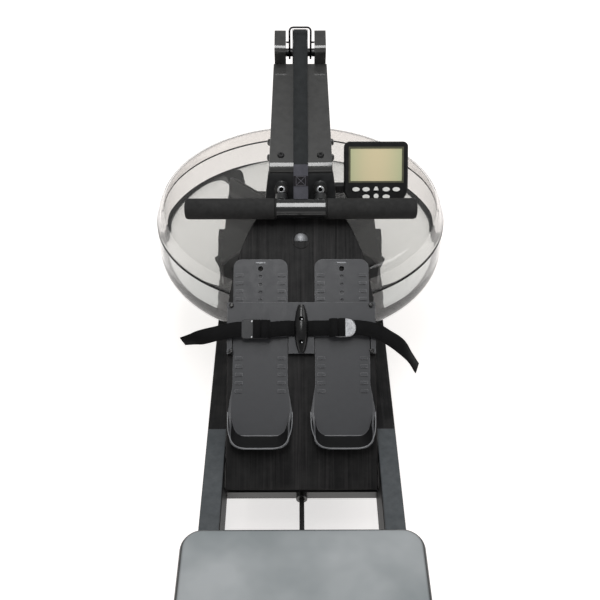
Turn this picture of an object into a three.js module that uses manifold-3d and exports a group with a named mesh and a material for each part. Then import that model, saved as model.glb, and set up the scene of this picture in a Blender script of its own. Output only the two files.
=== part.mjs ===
// Water rowing machine: two long rails with a sliding seat, a sloped foot board, and a clear water tank
// with a paddle that a pull handle turns through a strap, a top pulley and a drum.
// Millimetres, +Z up, +Y from the seat towards the tank, origin on the floor under the middle.

import * as THREE from 'three';
import { mergeVertices } from 'three/addons/utils/BufferGeometryUtils.js';
import Module from 'manifold-3d';

const wasm = await Module();
wasm.setup();

// Clearances and cutting
const touchGap = 0.3;
const runningGap = 0.5;
const slidingGap = 1;
const cutOverrun = 5;

// Rails and tracks
const machineLength = 2100;
const railSpan = 315;
const railWidth = 33;
const railHeight = 84;
const railBottom = 130;
const railEdgeRadius = 3;
const trackWidth = 31;
const trackThickness = 5.7;
const trackEdgeRadius = 1.5;
const trackFrontSetback = 475;
const trackRearInset = 15;
const railTop = railBottom + railHeight;
const railInner = railSpan / 2 - railWidth;
const railCentreX = railSpan / 2 - railWidth / 2;
const trackTop = railTop + touchGap + trackThickness;
const rearEndY = -machineLength / 2;
const frontEndY = machineLength / 2;

// The tank's middle keeps its setback from the rails' front ends, and every setback below is from the
// tank's middle towards the seat
const tankSetback = 290;
const tankCentreY = frontEndY - tankSetback;
const trackFrontY = tankCentreY - trackFrontSetback;

// Legs under the rails and their rubber feet
const footThickness = 12;
const footMargin = 6;
const footCornerRadius = 10;
const legThickness = 30;
const legCornerRadius = 18;
const legNeckDrop = 14;
const rearLegInset = 90;
const rearLegSideInset = 0.5;
const frontLegInset = 125;
const frontLegReach = 21;
const legNeckTop = railTop - legNeckDrop;
const rearLegY = rearEndY + rearLegInset;
const rearLegHalfWidth = railSpan / 2 - rearLegSideInset;
const frontLegY = frontEndY - frontLegInset;
const frontLegHalfWidth = railSpan / 2 + frontLegReach;
const legBottom = footThickness + touchGap;
const legShoulder = railBottom - touchGap;

// Transport wheels at the front leg
const transportWheelRadius = 30;
const transportWheelWidth = 22;
const transportWheelEdge = 4;
const transportWheelLift = 2;
const transportWheelInset = 14;
const transportWheelReach = 40;
const transportAxleRadius = 6;
const transportArmThickness = 8;
const transportArmRadius = 14;

// Tank deck and tank
const deckThickness = 16.4;
const deckSideInset = 0.5;
const deckReach = 185;
const deckCornerRadius = 20;
const deckHalfWidth = railSpan / 2 - deckSideInset;
const deckNearY = tankCentreY - deckReach;
const deckFarY = tankCentreY + deckReach;
const tankRadius = 283;
const tankWall = 4;
const gasketThickness = 3;
const gasketInset = 0.5;
const tankSides = 56;
const lowerShellDepth = 98;
const lowerShellDrops = [40, 62, 74, 83, 90, 95];
const lowerShellInsets = [0, 0.6, 3, 7.5, 14, 23];
const lowerFloorInset = 38;
const upperShellHeight = 45.5;
const upperShellRises = [12, 24, 33, 40.5, 44.5];
const upperShellInsets = [3.5, 7, 11, 17, 26];
const lidFlatInset = 41;
const lowerFloorRadius = tankRadius - lowerFloorInset;
const lidFlatRadius = tankRadius - lidFlatInset;
const lidBossRadius = 58;
const lidBossHeight = 4;
const lidBoreRadius = 16;
const deckTop = railTop + touchGap + deckThickness;
const seamZ = deckTop + touchGap + lowerShellDepth;
const lidTop = seamZ + upperShellHeight;

// Drive strap and recoil cord
const driveWidth = 25;
const driveThickness = 2.2;
const driveWoundThickness = 11;
const driveLift = 3.5;
const driveBendSteps = 6;
const driveWrapSteps = 14;
const driveTwistSteps = 14;
const driveStraight = 34;
const drivePullShare = 1 / 3;
const cordRadius = 4;
const cordSides = 8;
const cordRise = 20;
const cordArcSteps = 5;
const cordWrapSteps = 8;
const cordWrapDeg = 150;
const cordStraightSteps = 3;
const cordZ = railBottom + cordRise;

// Paddle, its shaft, bearing and drum
const shaftRadius = 8;
const shaftFloorGap = 9;
const paddleHubRadius = 34;
const paddleHubHeight = 46;
const paddleTipInset = 74;
const paddleBladeHeight = 62;
const paddleBladeThickness = 6;
const paddleBladeCount = 4;
const paddleTurnShare = 0.5;
const paddleBladeCorner = 8;
const paddleLift = 18;
const bearingRadius = 26;
const bearingFlangeRadius = 34;
const bearingFlangeThickness = 3;
const bearingHeight = 16;
const drumCoreRadius = 20;
const drumFlangeRise = 15;
const drumFlangeThickness = 3;
const drumLift = 12;
const recoilSpoolSlack = 2;
const driveSpoolSlack = 1.5;
const paddleTipRadius = tankRadius - paddleTipInset;
const drumFlangeRadius = drumCoreRadius + drumFlangeRise;
const recoilSpoolHeight = 2 * (cordRadius + recoilSpoolSlack);
const driveSpoolHeight = driveWidth + 2 * driveSpoolSlack;

// Recoil rollers and the cord's guide
const rollerGrooveRadius = 13;
const rollerFlangeRise = 6;
const rollerGrooveSlack = 1;
const rollerSideThickness = 4;
const rollerAxleRadius = 5;
const lowerRollerSetback = 498;
const upperRollerSetback = 240;
const guideSetback = 557;
const guideRadius = 9.3;
const guideLength = 18;
const guideBarHalfHeight = 8;
const guideBarThickness = 10;
const rollerFlangeRadius = rollerGrooveRadius + rollerFlangeRise;
const rollerGrooveWidth = 2 * (cordRadius + rollerGrooveSlack);
const rollerWidth = rollerGrooveWidth + 2 * rollerSideThickness;
const lowerRollerY = tankCentreY - lowerRollerSetback;
const upperRollerY = tankCentreY - upperRollerSetback;
const guideY = tankCentreY - guideSetback;

// Top deck over the tank
const topDeckThickness = 18;
const topDeckHalfWidth = 55;
const topDeckFarReach = 140;
const topDeckSlotHalfWidth = 20;
const topDeckSlotMargin = 7;
const topDeckFarY = tankCentreY + topDeckFarReach;
const topDeckSlotFarY = upperRollerY + rollerFlangeRadius + topDeckSlotMargin;
const topDeckEarThickness = 6;
const topDeckEarRadius = 11;
const topDeckBottom = lidTop + lidBossHeight + touchGap;
const topDeckTop = topDeckBottom + topDeckThickness;

// Sloped foot board
const boardSlopeDeg = 39.4;
const boardStartSetback = 579;
const boardStartDrop = 23;
const boardSideGap = 2;
const boardThickness = 18;
const boardLength = 468;
const boardStraightShare = 0.641;
const boardCurveShares = [[0.882, 0.801], [0.702, 0.923], [0.522, 1]];
const boardApronDepth = 16;
const boardApronThickness = 10;
const boardApronLength = 240;
const boardBevel = 1.5;
const badgeRadius = 15;
const badgeThickness = 1.5;
const badgeInset = 55;
const boardStartY = tankCentreY - boardStartSetback;
const boardStartZ = railTop - boardStartDrop;
const boardWidth = 2 * (railInner - boardSideGap);
const badgeAlong = boardLength - badgeInset;
const boardSlope = THREE.MathUtils.degToRad(boardSlopeDeg);

// Panel between the rails that carries the foot board
const supportSetback = 365;
const supportThickness = 20;
const supportDrop = 36;
const supportSlotHalfWidth = 14;
const supportSlotHeight = 60;
const supportY = tankCentreY - supportSetback;
const supportBottom = railTop - supportDrop;

// Foot pads
const padCentreShare = 0.551;
const padNeckShare = 0.367;
const padHeelShare = 0.355;
const padFlareShare = 0.4286;
const padTopAlong = 378;
const padRimAlong = 62;
const padFloorRise = 22;
const padFlareRise = 40;
const padWaistRise = 44;
const padThickness = 4.7;
const padCornerRadius = 14;
const padWallThickness = 3;
const padRimHeight = 30;
const padRimSteps = 16;
const padHeelRoundShare = 0.45;
const padHeelRiseShare = 0.455;
const padSlotWidth = 17;
const padSlotLength = 4;
const padSlotInset = 6;
const padHoleRadius = 4.5;
const padHoleInset = 16;
const padNotchPitch = 13.5;
const padNotchCount = 5;
const padNotchRadius = 3.4;
const padNotchDepth = 2.4;
const padRibLength = 12;
const padRibWidth = 5;
const padRibHeight = 1.6;
const padRibInset = 4;
const padUpperRibs = 4;
const padLowerRibs = 5;
const padLowerRibRise = 55;
const padCentreX = (boardWidth / 2) * padCentreShare;
const padNeckWidth = boardWidth * padNeckShare;
const padHeelWidth = boardWidth * padHeelShare;
const padFlareWidth = boardWidth * padFlareShare;
const padFloorAlong = padRimAlong + padFloorRise;
const padFlareAlong = padFloorAlong + padFlareRise;
const padWaistAlong = padFlareAlong + padWaistRise;
const padSlotAlong = padTopAlong - padSlotInset;
const padHoleAlong = padTopAlong - padHoleInset;
const padLowerRibAlong = padWaistAlong + padLowerRibRise;

// Bridge plate over the foot pads, and the strap clamp on it
const bridgeSideInset = 0.5;
const bridgePadGap = 1.5;
const bridgeTopAlong = 304;
const bridgeLength = 57;
const bridgeLegLength = 28;
const bridgeThickness = 3;
const bridgeScrewRadius = 3.4;
const bridgeScrewHeight = 1.6;
const bridgeScrewInset = 5.5;
const clampLength = 78;
const clampWidth = 23;
const clampHeight = 16;
const clampInset = 44;
const clampSlotHeight = 3.6;
const clampSteps = 14;
const clampArcSteps = 6;
const clampEndShare = 0.05;
const clampFullShare = 0.5;
const clampLowShare = 0.35;
const clampShoulderShare = 0.4;
const bridgeWidth = boardWidth - 2 * bridgeSideInset;
const bridgeBottomAlong = bridgeTopAlong - bridgeLength;
const bridgeLegAlong = bridgeBottomAlong - bridgeLegLength;
const bridgeSideLegX = padCentreX + padNeckWidth / 2 + bridgePadGap;
const bridgeCentreLegX = padCentreX - padNeckWidth / 2 - bridgePadGap;
const clampAlong = bridgeTopAlong - clampInset;

// Foot straps and buckles
const strapWidth = 25;
const strapThickness = 2.2;
const strapTailDrop = 28;
const buckleHeight = 7;
const buckleWindow = 16;
const buckleFrame = 4;
const buckleBar = 3;
const buckleEdge = 1;
const leftBuckleWidth = 32;
const leftBuckleLength = 46;
const leftBuckleCorner = 6;
const leftBuckleShare = 0.612;
const rightBuckleWidth = 31;
const rightBuckleLength = 43;
const rightBuckleCorner = 15;
const rightBuckleShare = 0.555;

// Stations of a foot strap out from the clamp: outwards as a share of the board's half width, up the slope
// as a share of the strap's width, up as a share of its thickness, and down as a share of the tail's drop
const leftStrapShares = [
  [0.012, 0, 0, 0],
  [0.118, 0, 0, 0],
  [0.196, 0, 1, 0],
  [0.42, -0.09, 2, 0],
  [leftBuckleShare, -0.09, 2, 0],
  [0.85, -0.09, 2, 0],
  [1, -0.2, 1, 0],
  [1.16, -0.35, -1, 0],
  [1.31, -0.5, 0, 0.25],
  [1.45, -0.62, 0, 0.45],
  [1.6, -0.75, 0, 0.6],
];
const rightStrapShares = [
  [0.012, 0, 0, 0],
  [0.118, 0, 0, 0],
  [0.196, 0, 1, 0],
  [0.38, 0, 2, 0],
  [rightBuckleShare, 0, 2, 0],
  [0.78, 0, 2, 0],
  [1, -0.2, 1, 0],
  [1.16, -0.6, -1, 0],
  [1.32, -1.1, 0, 0.3],
  [1.46, -1.8, 0, 0.7],
  [1.57, -2.5, 0, 1.2],
];
// The way that each tail's width points at its last stations
const leftTailTurns = [[0.1, 0.9, 0.3], [0.2, 0.6, 0.7], [0.3, 0.4, 0.9]];
const rightTailTurns = [[0.2, 1, -0.1], [0.4, 0.9, -0.1], [0.25, 0.75, -0.55], [0.25, 0.75, -0.55]];

// Neck: two cheeks, a top plate and a front block on the top deck
const neckSlopeDeg = 17.85;
const neckStartSetback = 155.8;
const neckStartRise = 144;
const neckLength = 236;
const neckLowerHalfWidth = 54.5;
const neckUpperHalfWidth = 49;
const neckPlateThickness = 4;
const neckLipRadius = 16;
const neckLipSteps = 6;
const cheekThickness = 6;
const cheekOuterX = 47.5;
const cheekFarInset = 24;
const cheekBoltRadius = 7;
const cheekBoltHeight = 14;
const cheekBoltShares = [[1, 0.5], [0.8, 0.85], [0.45, 1]];
const cheekBoltNear = 22;
const cheekBoltPitch = 35;
const cheekBoltDrop = 14;
const frontBlockThickness = 10;
const frontBlockLeanDeg = 16;
const frontBlockTopHalfWidth = 55;
const frontBlockBottomHalfWidth = 74;
const blockDoorHalfWidth = 20;
const blockDoorMargin = 6;
const restRadius = 10.5;
const restX = 33;
const neckStartY = tankCentreY - neckStartSetback;
const neckStartZ = topDeckTop + neckStartRise;
const neckSlope = THREE.MathUtils.degToRad(neckSlopeDeg);

// Pulley yoke, top pulley, axle and wire guard
const pulleyReach = 44;
const pulleyAbove = -14;
const pulleyCoreRadius = 39.5;
const pulleyFlangeRise = 2.5;
const pulleyFlangeWidth = 1.2;
const pulleySideSlack = 0.5;
const pulleyAxleRadius = 7.5;
const earInnerGap = 12;
const earOuterX = 47;
const earTop = 35;
const earBottom = -36;
const earReach = 59;
const earCornerRadius = 11;
const earFarRadius = 16;
const yokeBridgeThickness = 16;
const yokeBridgeLength = 26;
const guardWireRadius = 1.8;
const guardWireSides = 8;
const guardSideGap = 5.4;
const guardForward = 10.3;
const guardBarAbove = 54;
const guardLegBelow = 8;
const guardStubAbove = 25;
const guardCorner = 7;
const guardArcSteps = 4;
const pulleyAlong = neckLength + pulleyReach;
const pulleyFlangeRadius = pulleyCoreRadius + pulleyFlangeRise;
const pulleyWidth = driveWidth + 2 * (pulleyFlangeWidth + pulleySideSlack);
const earInnerX = pulleyWidth / 2 + earInnerGap;
const earFarAlong = neckLength + earReach;
const guardHalfWidth = pulleyWidth / 2 + guardSideGap;

// Handle
const handleSetback = 239;
const handleDrop = 39.1;
const handleHalfLength = 193;
const handleCoreRadius = 11;
const handleSleeveRadius = 16.5;
const handleSleeveHalf = 44;
const gripRadius = 17.5;
const gripEndRadius = 5;
const gripRoundShare = 0.3;
const handlePullDeg = 40;
const handleY = tankCentreY - handleSetback;
const handleZ = neckStartZ - handleDrop;

// Monitor
const monitorX = 129;
const monitorSetback = 168;
const monitorDrop = 14.8;
const monitorTiltDeg = 56;
const monitorWidth = 109;
const monitorHeight = 107;
const monitorDepth = 24;
const monitorCorner = 9;
const monitorChinHeight = 22;
const monitorChinInset = 12;
const monitorBevel = 2;
const screenSideInset = 10;
const screenHeight = 56;
const screenTopInset = 11.5;
const screenDepth = 2;
const screenCorner = 2;
const buttonTravel = 1;
const buttonProud = 2.2;
const buttonSeat = 3.2;
const buttonGap = 0.6;
const ovalButtonWidth = 12.6;
const ovalButtonHeight = 7.4;
const middleButtonWidth = 9;
const middleButtonHeight = 11;
const roundButtonRadius = 4.2;
const buttonPitch = 17.2;
const buttonRowOneRise = 26;
const buttonRowTwoRise = 13.5;
const roundButtonRise = 14.5;
const pivotRadius = 5;
const pivotDrop = 24;
const lugRadius = 9;
const lugWidth = 10;
const lugReach = 14;
const armWidth = 12;
const armHeight = 14;
const armBaseThickness = 4;
const armBaseHalf = 9;
const monitorY = tankCentreY - monitorSetback;
const monitorZ = neckStartZ - monitorDrop;
const screenWidth = monitorWidth - 2 * screenSideInset;
const screenAbove = monitorHeight / 2 - screenTopInset - screenHeight / 2;
const buttonRowOneAbove = buttonRowOneRise - monitorHeight / 2;
const buttonRowTwoAbove = buttonRowTwoRise - monitorHeight / 2;
const roundButtonAbove = roundButtonRise - monitorHeight / 2;

// Seat
const padWidth = 338;
const padDepth = 250;
const padHeight = 30;
const padCrown = 5;
const padCorner = 38;
const padSideRound = 9;
const padOutlineSteps = 6;
const padCornerLeastShare = 0.125;
const padFootShares = [[2, 0], [1, 0], [0.62, 0.05], [0.3, 0.167], [0.1, 0.375], [0, 0.52]];
const padShoulderShares = [[0.12, 0.85], [0.45, 0.97], [1, 1]];
const padCrownShares = [0.2, 0.42, 0.68, 0.98];
const seatFrontSetback = 743;
const seatRise = 94;
const carriagePlateThickness = 10;
const carriagePlateMargin = 19;
const carriageEndInset = 15;
const carriageSideThickness = 8;
const carriageWheelGap = 10;
const carriageSideHeight = 46;
const carriageSideMargin = 25;
const wheelsetRadius = 19;
const wheelsetWidth = 22;
const wheelsetEdge = 3;
const wheelsetAxleRadius = 5;
const wheelsetPitch = 150;
const seatFrontY = tankCentreY - seatFrontSetback;
const seatTop = trackTop + seatRise;
const carriageSideX = railCentreX - wheelsetWidth / 2 - carriageWheelGap - carriageSideThickness;

// Finishes
const blackWood = { color: 0x242526, roughness: 0.5 };
const darkWood = { color: 0x1e1f20, roughness: 0.5 };
const trackGrey = { color: 0x5a5d60, roughness: 0.45, metalness: 0.3 };
const padGrey = { color: 0x555659, roughness: 0.45 };
const metalDark = { color: 0x4c4b4b, roughness: 0.4, metalness: 0.6 };
const blackPlastic = { color: 0x1b1b1c, roughness: 0.4 };
const rubberBlack = { color: 0x161616, roughness: 0.85 };
const webbing = { color: 0x19191a, roughness: 0.8 };
const strapGrey = { color: 0x353636, roughness: 0.75 };
const steel = { color: 0xa8a9aa, roughness: 0.35, metalness: 0.9 };
const clearTank = { color: 0xdedad6, roughness: 0.1 };
const seatGrey = { color: 0x9a9ea0, roughness: 0.5 };
const screenGreen = { color: 0xbcbd98, roughness: 0.2 };
const keyWhite = { color: 0xe6e6e2, roughness: 0.4 };
const foamBlack = { color: 0x2c2c2c, roughness: 0.9 };

const machine = new THREE.Group();

// Adds one piece to a group as a named mesh.
function addPiece(parent, name, geometry, finish) {
  const material = new THREE.MeshStandardMaterial(finish);
  const mesh = new THREE.Mesh(closed(geometry), material);
  mesh.name = name;
  parent.add(mesh);
  return mesh;
}

// Signed volume of a closed triangle mesh, positive where its faces point out.
function signedVolume(geometry) {
  const index = geometry.index;
  const place = geometry.attributes.position;
  const corners = [new THREE.Vector3(), new THREE.Vector3(), new THREE.Vector3()];
  let sum = 0;
  for (let i = 0; i < index.count; i += 3) {
    corners.forEach((corner, k) => corner.fromBufferAttribute(place, index.getX(i + k)));
    sum += corners[0].dot(corners[1].clone().cross(corners[2])) / 6;
  }
  return sum;
}

// Merges a surface's shared corners and turns its faces outwards.
function closed(source) {
  const geometry = source.clone();
  geometry.deleteAttribute('normal');
  geometry.deleteAttribute('uv');
  const merged = mergeVertices(geometry);
  if (signedVolume(merged) < 0) {
    const turned = Array.from(merged.index.array);
    for (let i = 0; i < turned.length; i += 3) {
      [turned[i + 1], turned[i + 2]] = [turned[i + 2], turned[i + 1]];
    }
    merged.setIndex(turned);
  }
  return merged;
}

function toSolid(geometry) {
  const surface = closed(geometry);
  const vertProperties = new Float32Array(surface.attributes.position.array);
  const triVerts = new Uint32Array(surface.index.array);
  return new wasm.Manifold(new wasm.Mesh({ numProp: 3, vertProperties, triVerts }));
}

function toGeometry(solid) {
  const mesh = solid.getMesh();
  const geometry = new THREE.BufferGeometry();
  geometry.setAttribute('position', new THREE.BufferAttribute(mesh.vertProperties, 3));
  geometry.setIndex(new THREE.BufferAttribute(mesh.triVerts, 1));
  return geometry;
}

function join(...geometries) {
  return toGeometry(geometries.map(toSolid).reduce((whole, part) => whole.add(part)));
}

function cut(base, ...tools) {
  return toGeometry(tools.map(toSolid).reduce((rest, tool) => rest.subtract(tool), toSolid(base)));
}

function meet(base, tool) {
  return toGeometry(toSolid(base).intersect(toSolid(tool)));
}

// A rounded rectangle about its own centre.
function roundedRectangle(width, height, radius) {
  const x = width / 2;
  const y = height / 2;
  const shape = new THREE.Shape();
  shape.moveTo(-x + radius, -y);
  shape.lineTo(x - radius, -y);
  shape.absarc(x - radius, -y + radius, radius, -Math.PI / 2, 0);
  shape.lineTo(x, y - radius);
  shape.absarc(x - radius, y - radius, radius, 0, Math.PI / 2);
  shape.lineTo(-x + radius, y);
  shape.absarc(-x + radius, y - radius, radius, Math.PI / 2, Math.PI);
  shape.lineTo(-x, -y + radius);
  shape.absarc(-x + radius, -y + radius, radius, Math.PI, Math.PI * 1.5);
  return shape;
}

function outline(points) {
  return new THREE.Shape(points.map(([x, y]) => new THREE.Vector2(x, y)));
}

// A flat shape in X and Y given a thickness upwards from z.
function slab(shape, z, thickness, curveSegments = 4) {
  const settings = { depth: thickness, bevelEnabled: false, curveSegments };
  return new THREE.ExtrudeGeometry(shape, settings).translate(0, 0, z);
}

// A slab with a small bevel round both faces.
function bevelledSlab(shape, z, thickness, bevel, curveSegments = 4) {
  const settings = {
    depth: thickness - 2 * bevel,
    bevelThickness: bevel,
    bevelSize: bevel,
    bevelOffset: -bevel,
    bevelSegments: 1,
    curveSegments,
  };
  return new THREE.ExtrudeGeometry(shape, settings).translate(0, 0, z + bevel);
}

// A shape in Y and Z run along X.
function runAlongX(shape, fromX, toX, curveSegments = 4) {
  const settings = { depth: toX - fromX, bevelEnabled: false, curveSegments };
  const turn = new THREE.Matrix4().makeBasis(
    new THREE.Vector3(0, 1, 0), new THREE.Vector3(0, 0, 1), new THREE.Vector3(1, 0, 0));
  return new THREE.ExtrudeGeometry(shape, settings).applyMatrix4(turn).translate(fromX, 0, 0);
}

// A shape in X and Z run along Y.
function runAlongY(shape, fromY, toY, curveSegments = 2) {
  const settings = { depth: toY - fromY, bevelEnabled: false, curveSegments };
  return new THREE.ExtrudeGeometry(shape, settings).rotateX(Math.PI / 2).translate(0, toY, 0);
}

function box(fromX, toX, fromY, toY, fromZ, toZ) {
  const geometry = new THREE.BoxGeometry(toX - fromX, toY - fromY, toZ - fromZ);
  return geometry.translate((fromX + toX) / 2, (fromY + toY) / 2, (fromZ + toZ) / 2);
}

// Turns a profile of [radius, height] pairs round the Z axis.
function turned(profile, segments = 20) {
  const points = profile.map(([radius, height]) => new THREE.Vector2(radius, height));
  return new THREE.LatheGeometry(points, segments).rotateX(Math.PI / 2);
}

// A profile of [radius, distance along X] pairs turned round the X axis.
function turnedX(profile, segments = 18) {
  return turned(profile, segments).rotateY(Math.PI / 2);
}

function rodX(radius, fromX, toX, y, z, segments = 16) {
  const rod = new THREE.CylinderGeometry(radius, radius, toX - fromX, segments).rotateZ(-Math.PI / 2);
  return rod.translate((fromX + toX) / 2, y, z);
}

function rodY(radius, fromY, toY, x, z, segments = 16) {
  const rod = new THREE.CylinderGeometry(radius, radius, toY - fromY, segments);
  return rod.translate(x, (fromY + toY) / 2, z);
}

function rodZ(radius, fromZ, toZ, x, y, segments = 24) {
  const rod = new THREE.CylinderGeometry(radius, radius, toZ - fromZ, segments).rotateX(Math.PI / 2);
  return rod.translate(x, y, (fromZ + toZ) / 2);
}

// Skins a row of equal rings of points, with a fan over each end.
function skin(rings) {
  const sides = rings[0].length;
  const points = rings.flat().flatMap((point) => [point.x, point.y, point.z]);
  const faces = [];
  for (let k = 0; k + 1 < rings.length; k += 1) {
    for (let i = 0; i < sides; i += 1) {
      const a = k * sides + i;
      const b = k * sides + (i + 1) % sides;
      faces.push(a, b, b + sides, a, b + sides, a + sides);
    }
  }
  const last = (rings.length - 1) * sides;
  for (let i = 1; i + 1 < sides; i += 1) {
    faces.push(0, i + 1, i, last, last + i, last + i + 1);
  }
  const geometry = new THREE.BufferGeometry();
  geometry.setAttribute('position', new THREE.Float32BufferAttribute(points, 3));
  geometry.setIndex(faces);
  return closed(geometry);
}

// A flat band through stations of {at, wide}, its width along wide and its thickness square to its run.
function band(stations, width, thickness) {
  return skin(stations.map(({ at, wide }, k) => {
    const ahead = stations[Math.min(k + 1, stations.length - 1)].at;
    const behind = stations[Math.max(k - 1, 0)].at;
    const run = ahead.clone().sub(behind).normalize();
    const across = wide.clone().addScaledVector(run, -wide.dot(run)).normalize();
    const thick = run.clone().cross(across);
    const corners = [[-1, -1], [1, -1], [1, 1], [-1, 1]];
    return corners.map(([w, t]) => at.clone()
      .addScaledVector(across, (w * width) / 2)
      .addScaledVector(thick, (t * thickness) / 2));
  }));
}

// A round tube through points, its section carried along the run without twist.
function tube(points, radius, tubeSides) {
  let side = new THREE.Vector3(1, 0, 0);
  return skin(points.map((point, k) => {
    const ahead = points[Math.min(k + 1, points.length - 1)];
    const behind = points[Math.max(k - 1, 0)];
    const run = ahead.clone().sub(behind).normalize();
    side = side.clone().addScaledVector(run, -side.dot(run)).normalize();
    const over = run.clone().cross(side);
    const ring = [];
    for (let i = 0; i < tubeSides; i += 1) {
      const angle = (i / tubeSides) * 2 * Math.PI;
      ring.push(point.clone()
        .addScaledVector(side, radius * Math.cos(angle))
        .addScaledVector(over, radius * Math.sin(angle)));
    }
    return ring;
  }));
}

// Points of a rounded rectangle with its edge drawn in, the same count at every inset.
function roundedLoop(width, depth, radius, inset, z, steps) {
  const points = [];
  const corner = Math.max(radius - inset, radius * padCornerLeastShare);
  const x = width / 2 - inset - corner;
  const y = depth / 2 - inset - corner;
  [[x, y], [-x, y], [-x, -y], [x, -y]].forEach(([cx, cy], quarter) => {
    for (let i = 0; i <= steps; i += 1) {
      const angle = (quarter + i / steps) * (Math.PI / 2);
      points.push(new THREE.Vector3(cx + corner * Math.cos(angle), cy + corner * Math.sin(angle), z));
    }
  });
  return points;
}

// Rails and tracks

const sides = [['left', -1], ['right', 1]];
for (const [side, sign] of sides) {
  const rail = runAlongY(roundedRectangle(railWidth, railHeight, railEdgeRadius), rearEndY, frontEndY);
  rail.translate(sign * railCentreX, 0, railBottom + railHeight / 2);
  addPiece(machine, `rail_${side}`, rail, blackWood);

  const trackShape = roundedRectangle(trackWidth, trackThickness, trackEdgeRadius);
  const track = runAlongY(trackShape, rearEndY + trackRearInset, trackFrontY);
  track.translate(sign * railCentreX, 0, trackTop - trackThickness / 2);
  addPiece(machine, `track_${side}`, track, trackGrey);
}

// Legs: a panel under both rails with a tongue between them
function legPanel(halfWidth, y) {
  const tongue = railInner - touchGap;
  const shape = new THREE.Shape();
  shape.moveTo(-halfWidth + legCornerRadius, legBottom);
  shape.lineTo(halfWidth - legCornerRadius, legBottom);
  shape.absarc(halfWidth - legCornerRadius, legBottom + legCornerRadius, legCornerRadius, -Math.PI / 2, 0);
  shape.lineTo(halfWidth, legShoulder);
  shape.lineTo(tongue, legShoulder);
  shape.lineTo(tongue, legNeckTop);
  shape.lineTo(-tongue, legNeckTop);
  shape.lineTo(-tongue, legShoulder);
  shape.lineTo(-halfWidth, legShoulder);
  shape.lineTo(-halfWidth, legBottom + legCornerRadius);
  shape.absarc(-halfWidth + legCornerRadius, legBottom + legCornerRadius, legCornerRadius,
    Math.PI, Math.PI * 1.5);
  return runAlongY(shape, y - legThickness / 2, y + legThickness / 2, 4);
}

function footStrip(halfWidth, y) {
  const reach = legThickness + 2 * footMargin;
  const shape = roundedRectangle(2 * (halfWidth - legCornerRadius), reach, footCornerRadius);
  return slab(shape, 0, footThickness).translate(0, y, 0);
}

addPiece(machine, 'rear_leg', legPanel(rearLegHalfWidth, rearLegY), blackWood);
addPiece(machine, 'rear_foot', footStrip(rearLegHalfWidth, rearLegY), rubberBlack);
addPiece(machine, 'front_foot', footStrip(frontLegHalfWidth, frontLegY), rubberBlack);

const transportX = frontLegHalfWidth - transportWheelInset - transportWheelWidth / 2;
const transportY = frontLegY + legThickness / 2 + transportWheelReach;
const transportZ = transportWheelRadius + transportWheelLift;
const transportArms = sides.map(([, sign]) => {
  const inner = transportX - transportWheelWidth / 2 - slidingGap - transportArmThickness;
  const outer = inner + transportArmThickness;
  const arm = new THREE.Shape();
  arm.moveTo(frontLegY, transportZ - transportArmRadius);
  arm.lineTo(transportY, transportZ - transportArmRadius);
  arm.absarc(transportY, transportZ, transportArmRadius, -Math.PI / 2, Math.PI / 2);
  arm.lineTo(frontLegY, transportZ + transportArmRadius);
  const stubEnd = transportX + transportWheelWidth / 2;
  const plate = runAlongX(arm, inner, outer);
  const stub = rodX(transportAxleRadius, inner, stubEnd, transportY, transportZ);
  return join(plate, stub).scale(sign, 1, 1);
});
addPiece(machine, 'front_leg', join(legPanel(frontLegHalfWidth, frontLegY), ...transportArms), blackWood);

for (const [side, sign] of sides) {
  const bore = transportAxleRadius + runningGap;
  const half = transportWheelWidth / 2;
  const wheel = turnedX([
    [bore, -half],
    [transportWheelRadius - transportWheelEdge, -half],
    [transportWheelRadius, -half + transportWheelEdge],
    [transportWheelRadius, half - transportWheelEdge],
    [transportWheelRadius - transportWheelEdge, half],
    [bore, half],
    [bore, -half],
  ]);
  const mesh = addPiece(machine, `transport_wheel_${side}`, wheel, rubberBlack);
  mesh.position.set(sign * transportX, transportY, transportZ);
}

// Tank deck and tank

const deckShape = roundedRectangle(2 * deckHalfWidth, deckFarY - deckNearY, deckCornerRadius);
const deck = slab(deckShape, railTop + touchGap, deckThickness).translate(0, (deckNearY + deckFarY) / 2, 0);
addPiece(machine, 'tank_deck', deck, darkWood);

const gasketHalf = gasketThickness / 2;
const lowerLip = seamZ - gasketHalf - touchGap;
const lowerFloor = seamZ - lowerShellDepth;
const lowerOutline = lowerShellInsets.map((inset, k) => [tankRadius - inset, seamZ - lowerShellDrops[k]]);
const lowerInside = lowerOutline.map(
  ([radius, z]) => [radius - tankWall, Math.max(z, lowerFloor + tankWall)]);
const lowerShell = turned([
  [0, lowerFloor],
  [lowerFloorRadius, lowerFloor],
  ...lowerOutline.slice().reverse(),
  [tankRadius, lowerLip],
  [tankRadius - tankWall, lowerLip],
  ...lowerInside.filter(([, z]) => z > lowerFloor + tankWall),
  [lowerFloorRadius, lowerFloor + tankWall],
  [0, lowerFloor + tankWall],
], tankSides).translate(0, tankCentreY, 0);
addPiece(machine, 'tank_lower_shell', lowerShell, clearTank);

const upperLip = seamZ + gasketHalf + touchGap;
const upperOutline = upperShellInsets.map((inset, k) => [tankRadius - inset, seamZ + upperShellRises[k]]);
const upperInside = upperOutline.map(([radius, z]) => [radius - tankWall, Math.min(z, lidTop - tankWall)]);
const upperShell = turned([
  [lidBoreRadius, lidTop - tankWall],
  [lidFlatRadius, lidTop - tankWall],
  ...upperInside.filter(([, z]) => z < lidTop - tankWall).reverse(),
  [tankRadius - tankWall, upperLip],
  [tankRadius, upperLip],
  ...upperOutline,
  [lidFlatRadius, lidTop],
  [lidBossRadius, lidTop],
  [lidBossRadius, lidTop + lidBossHeight],
  [lidBoreRadius, lidTop + lidBossHeight],
  [lidBoreRadius, lidTop - tankWall],
], tankSides).translate(0, tankCentreY, 0);
addPiece(machine, 'tank_upper_shell', upperShell, clearTank);

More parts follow.
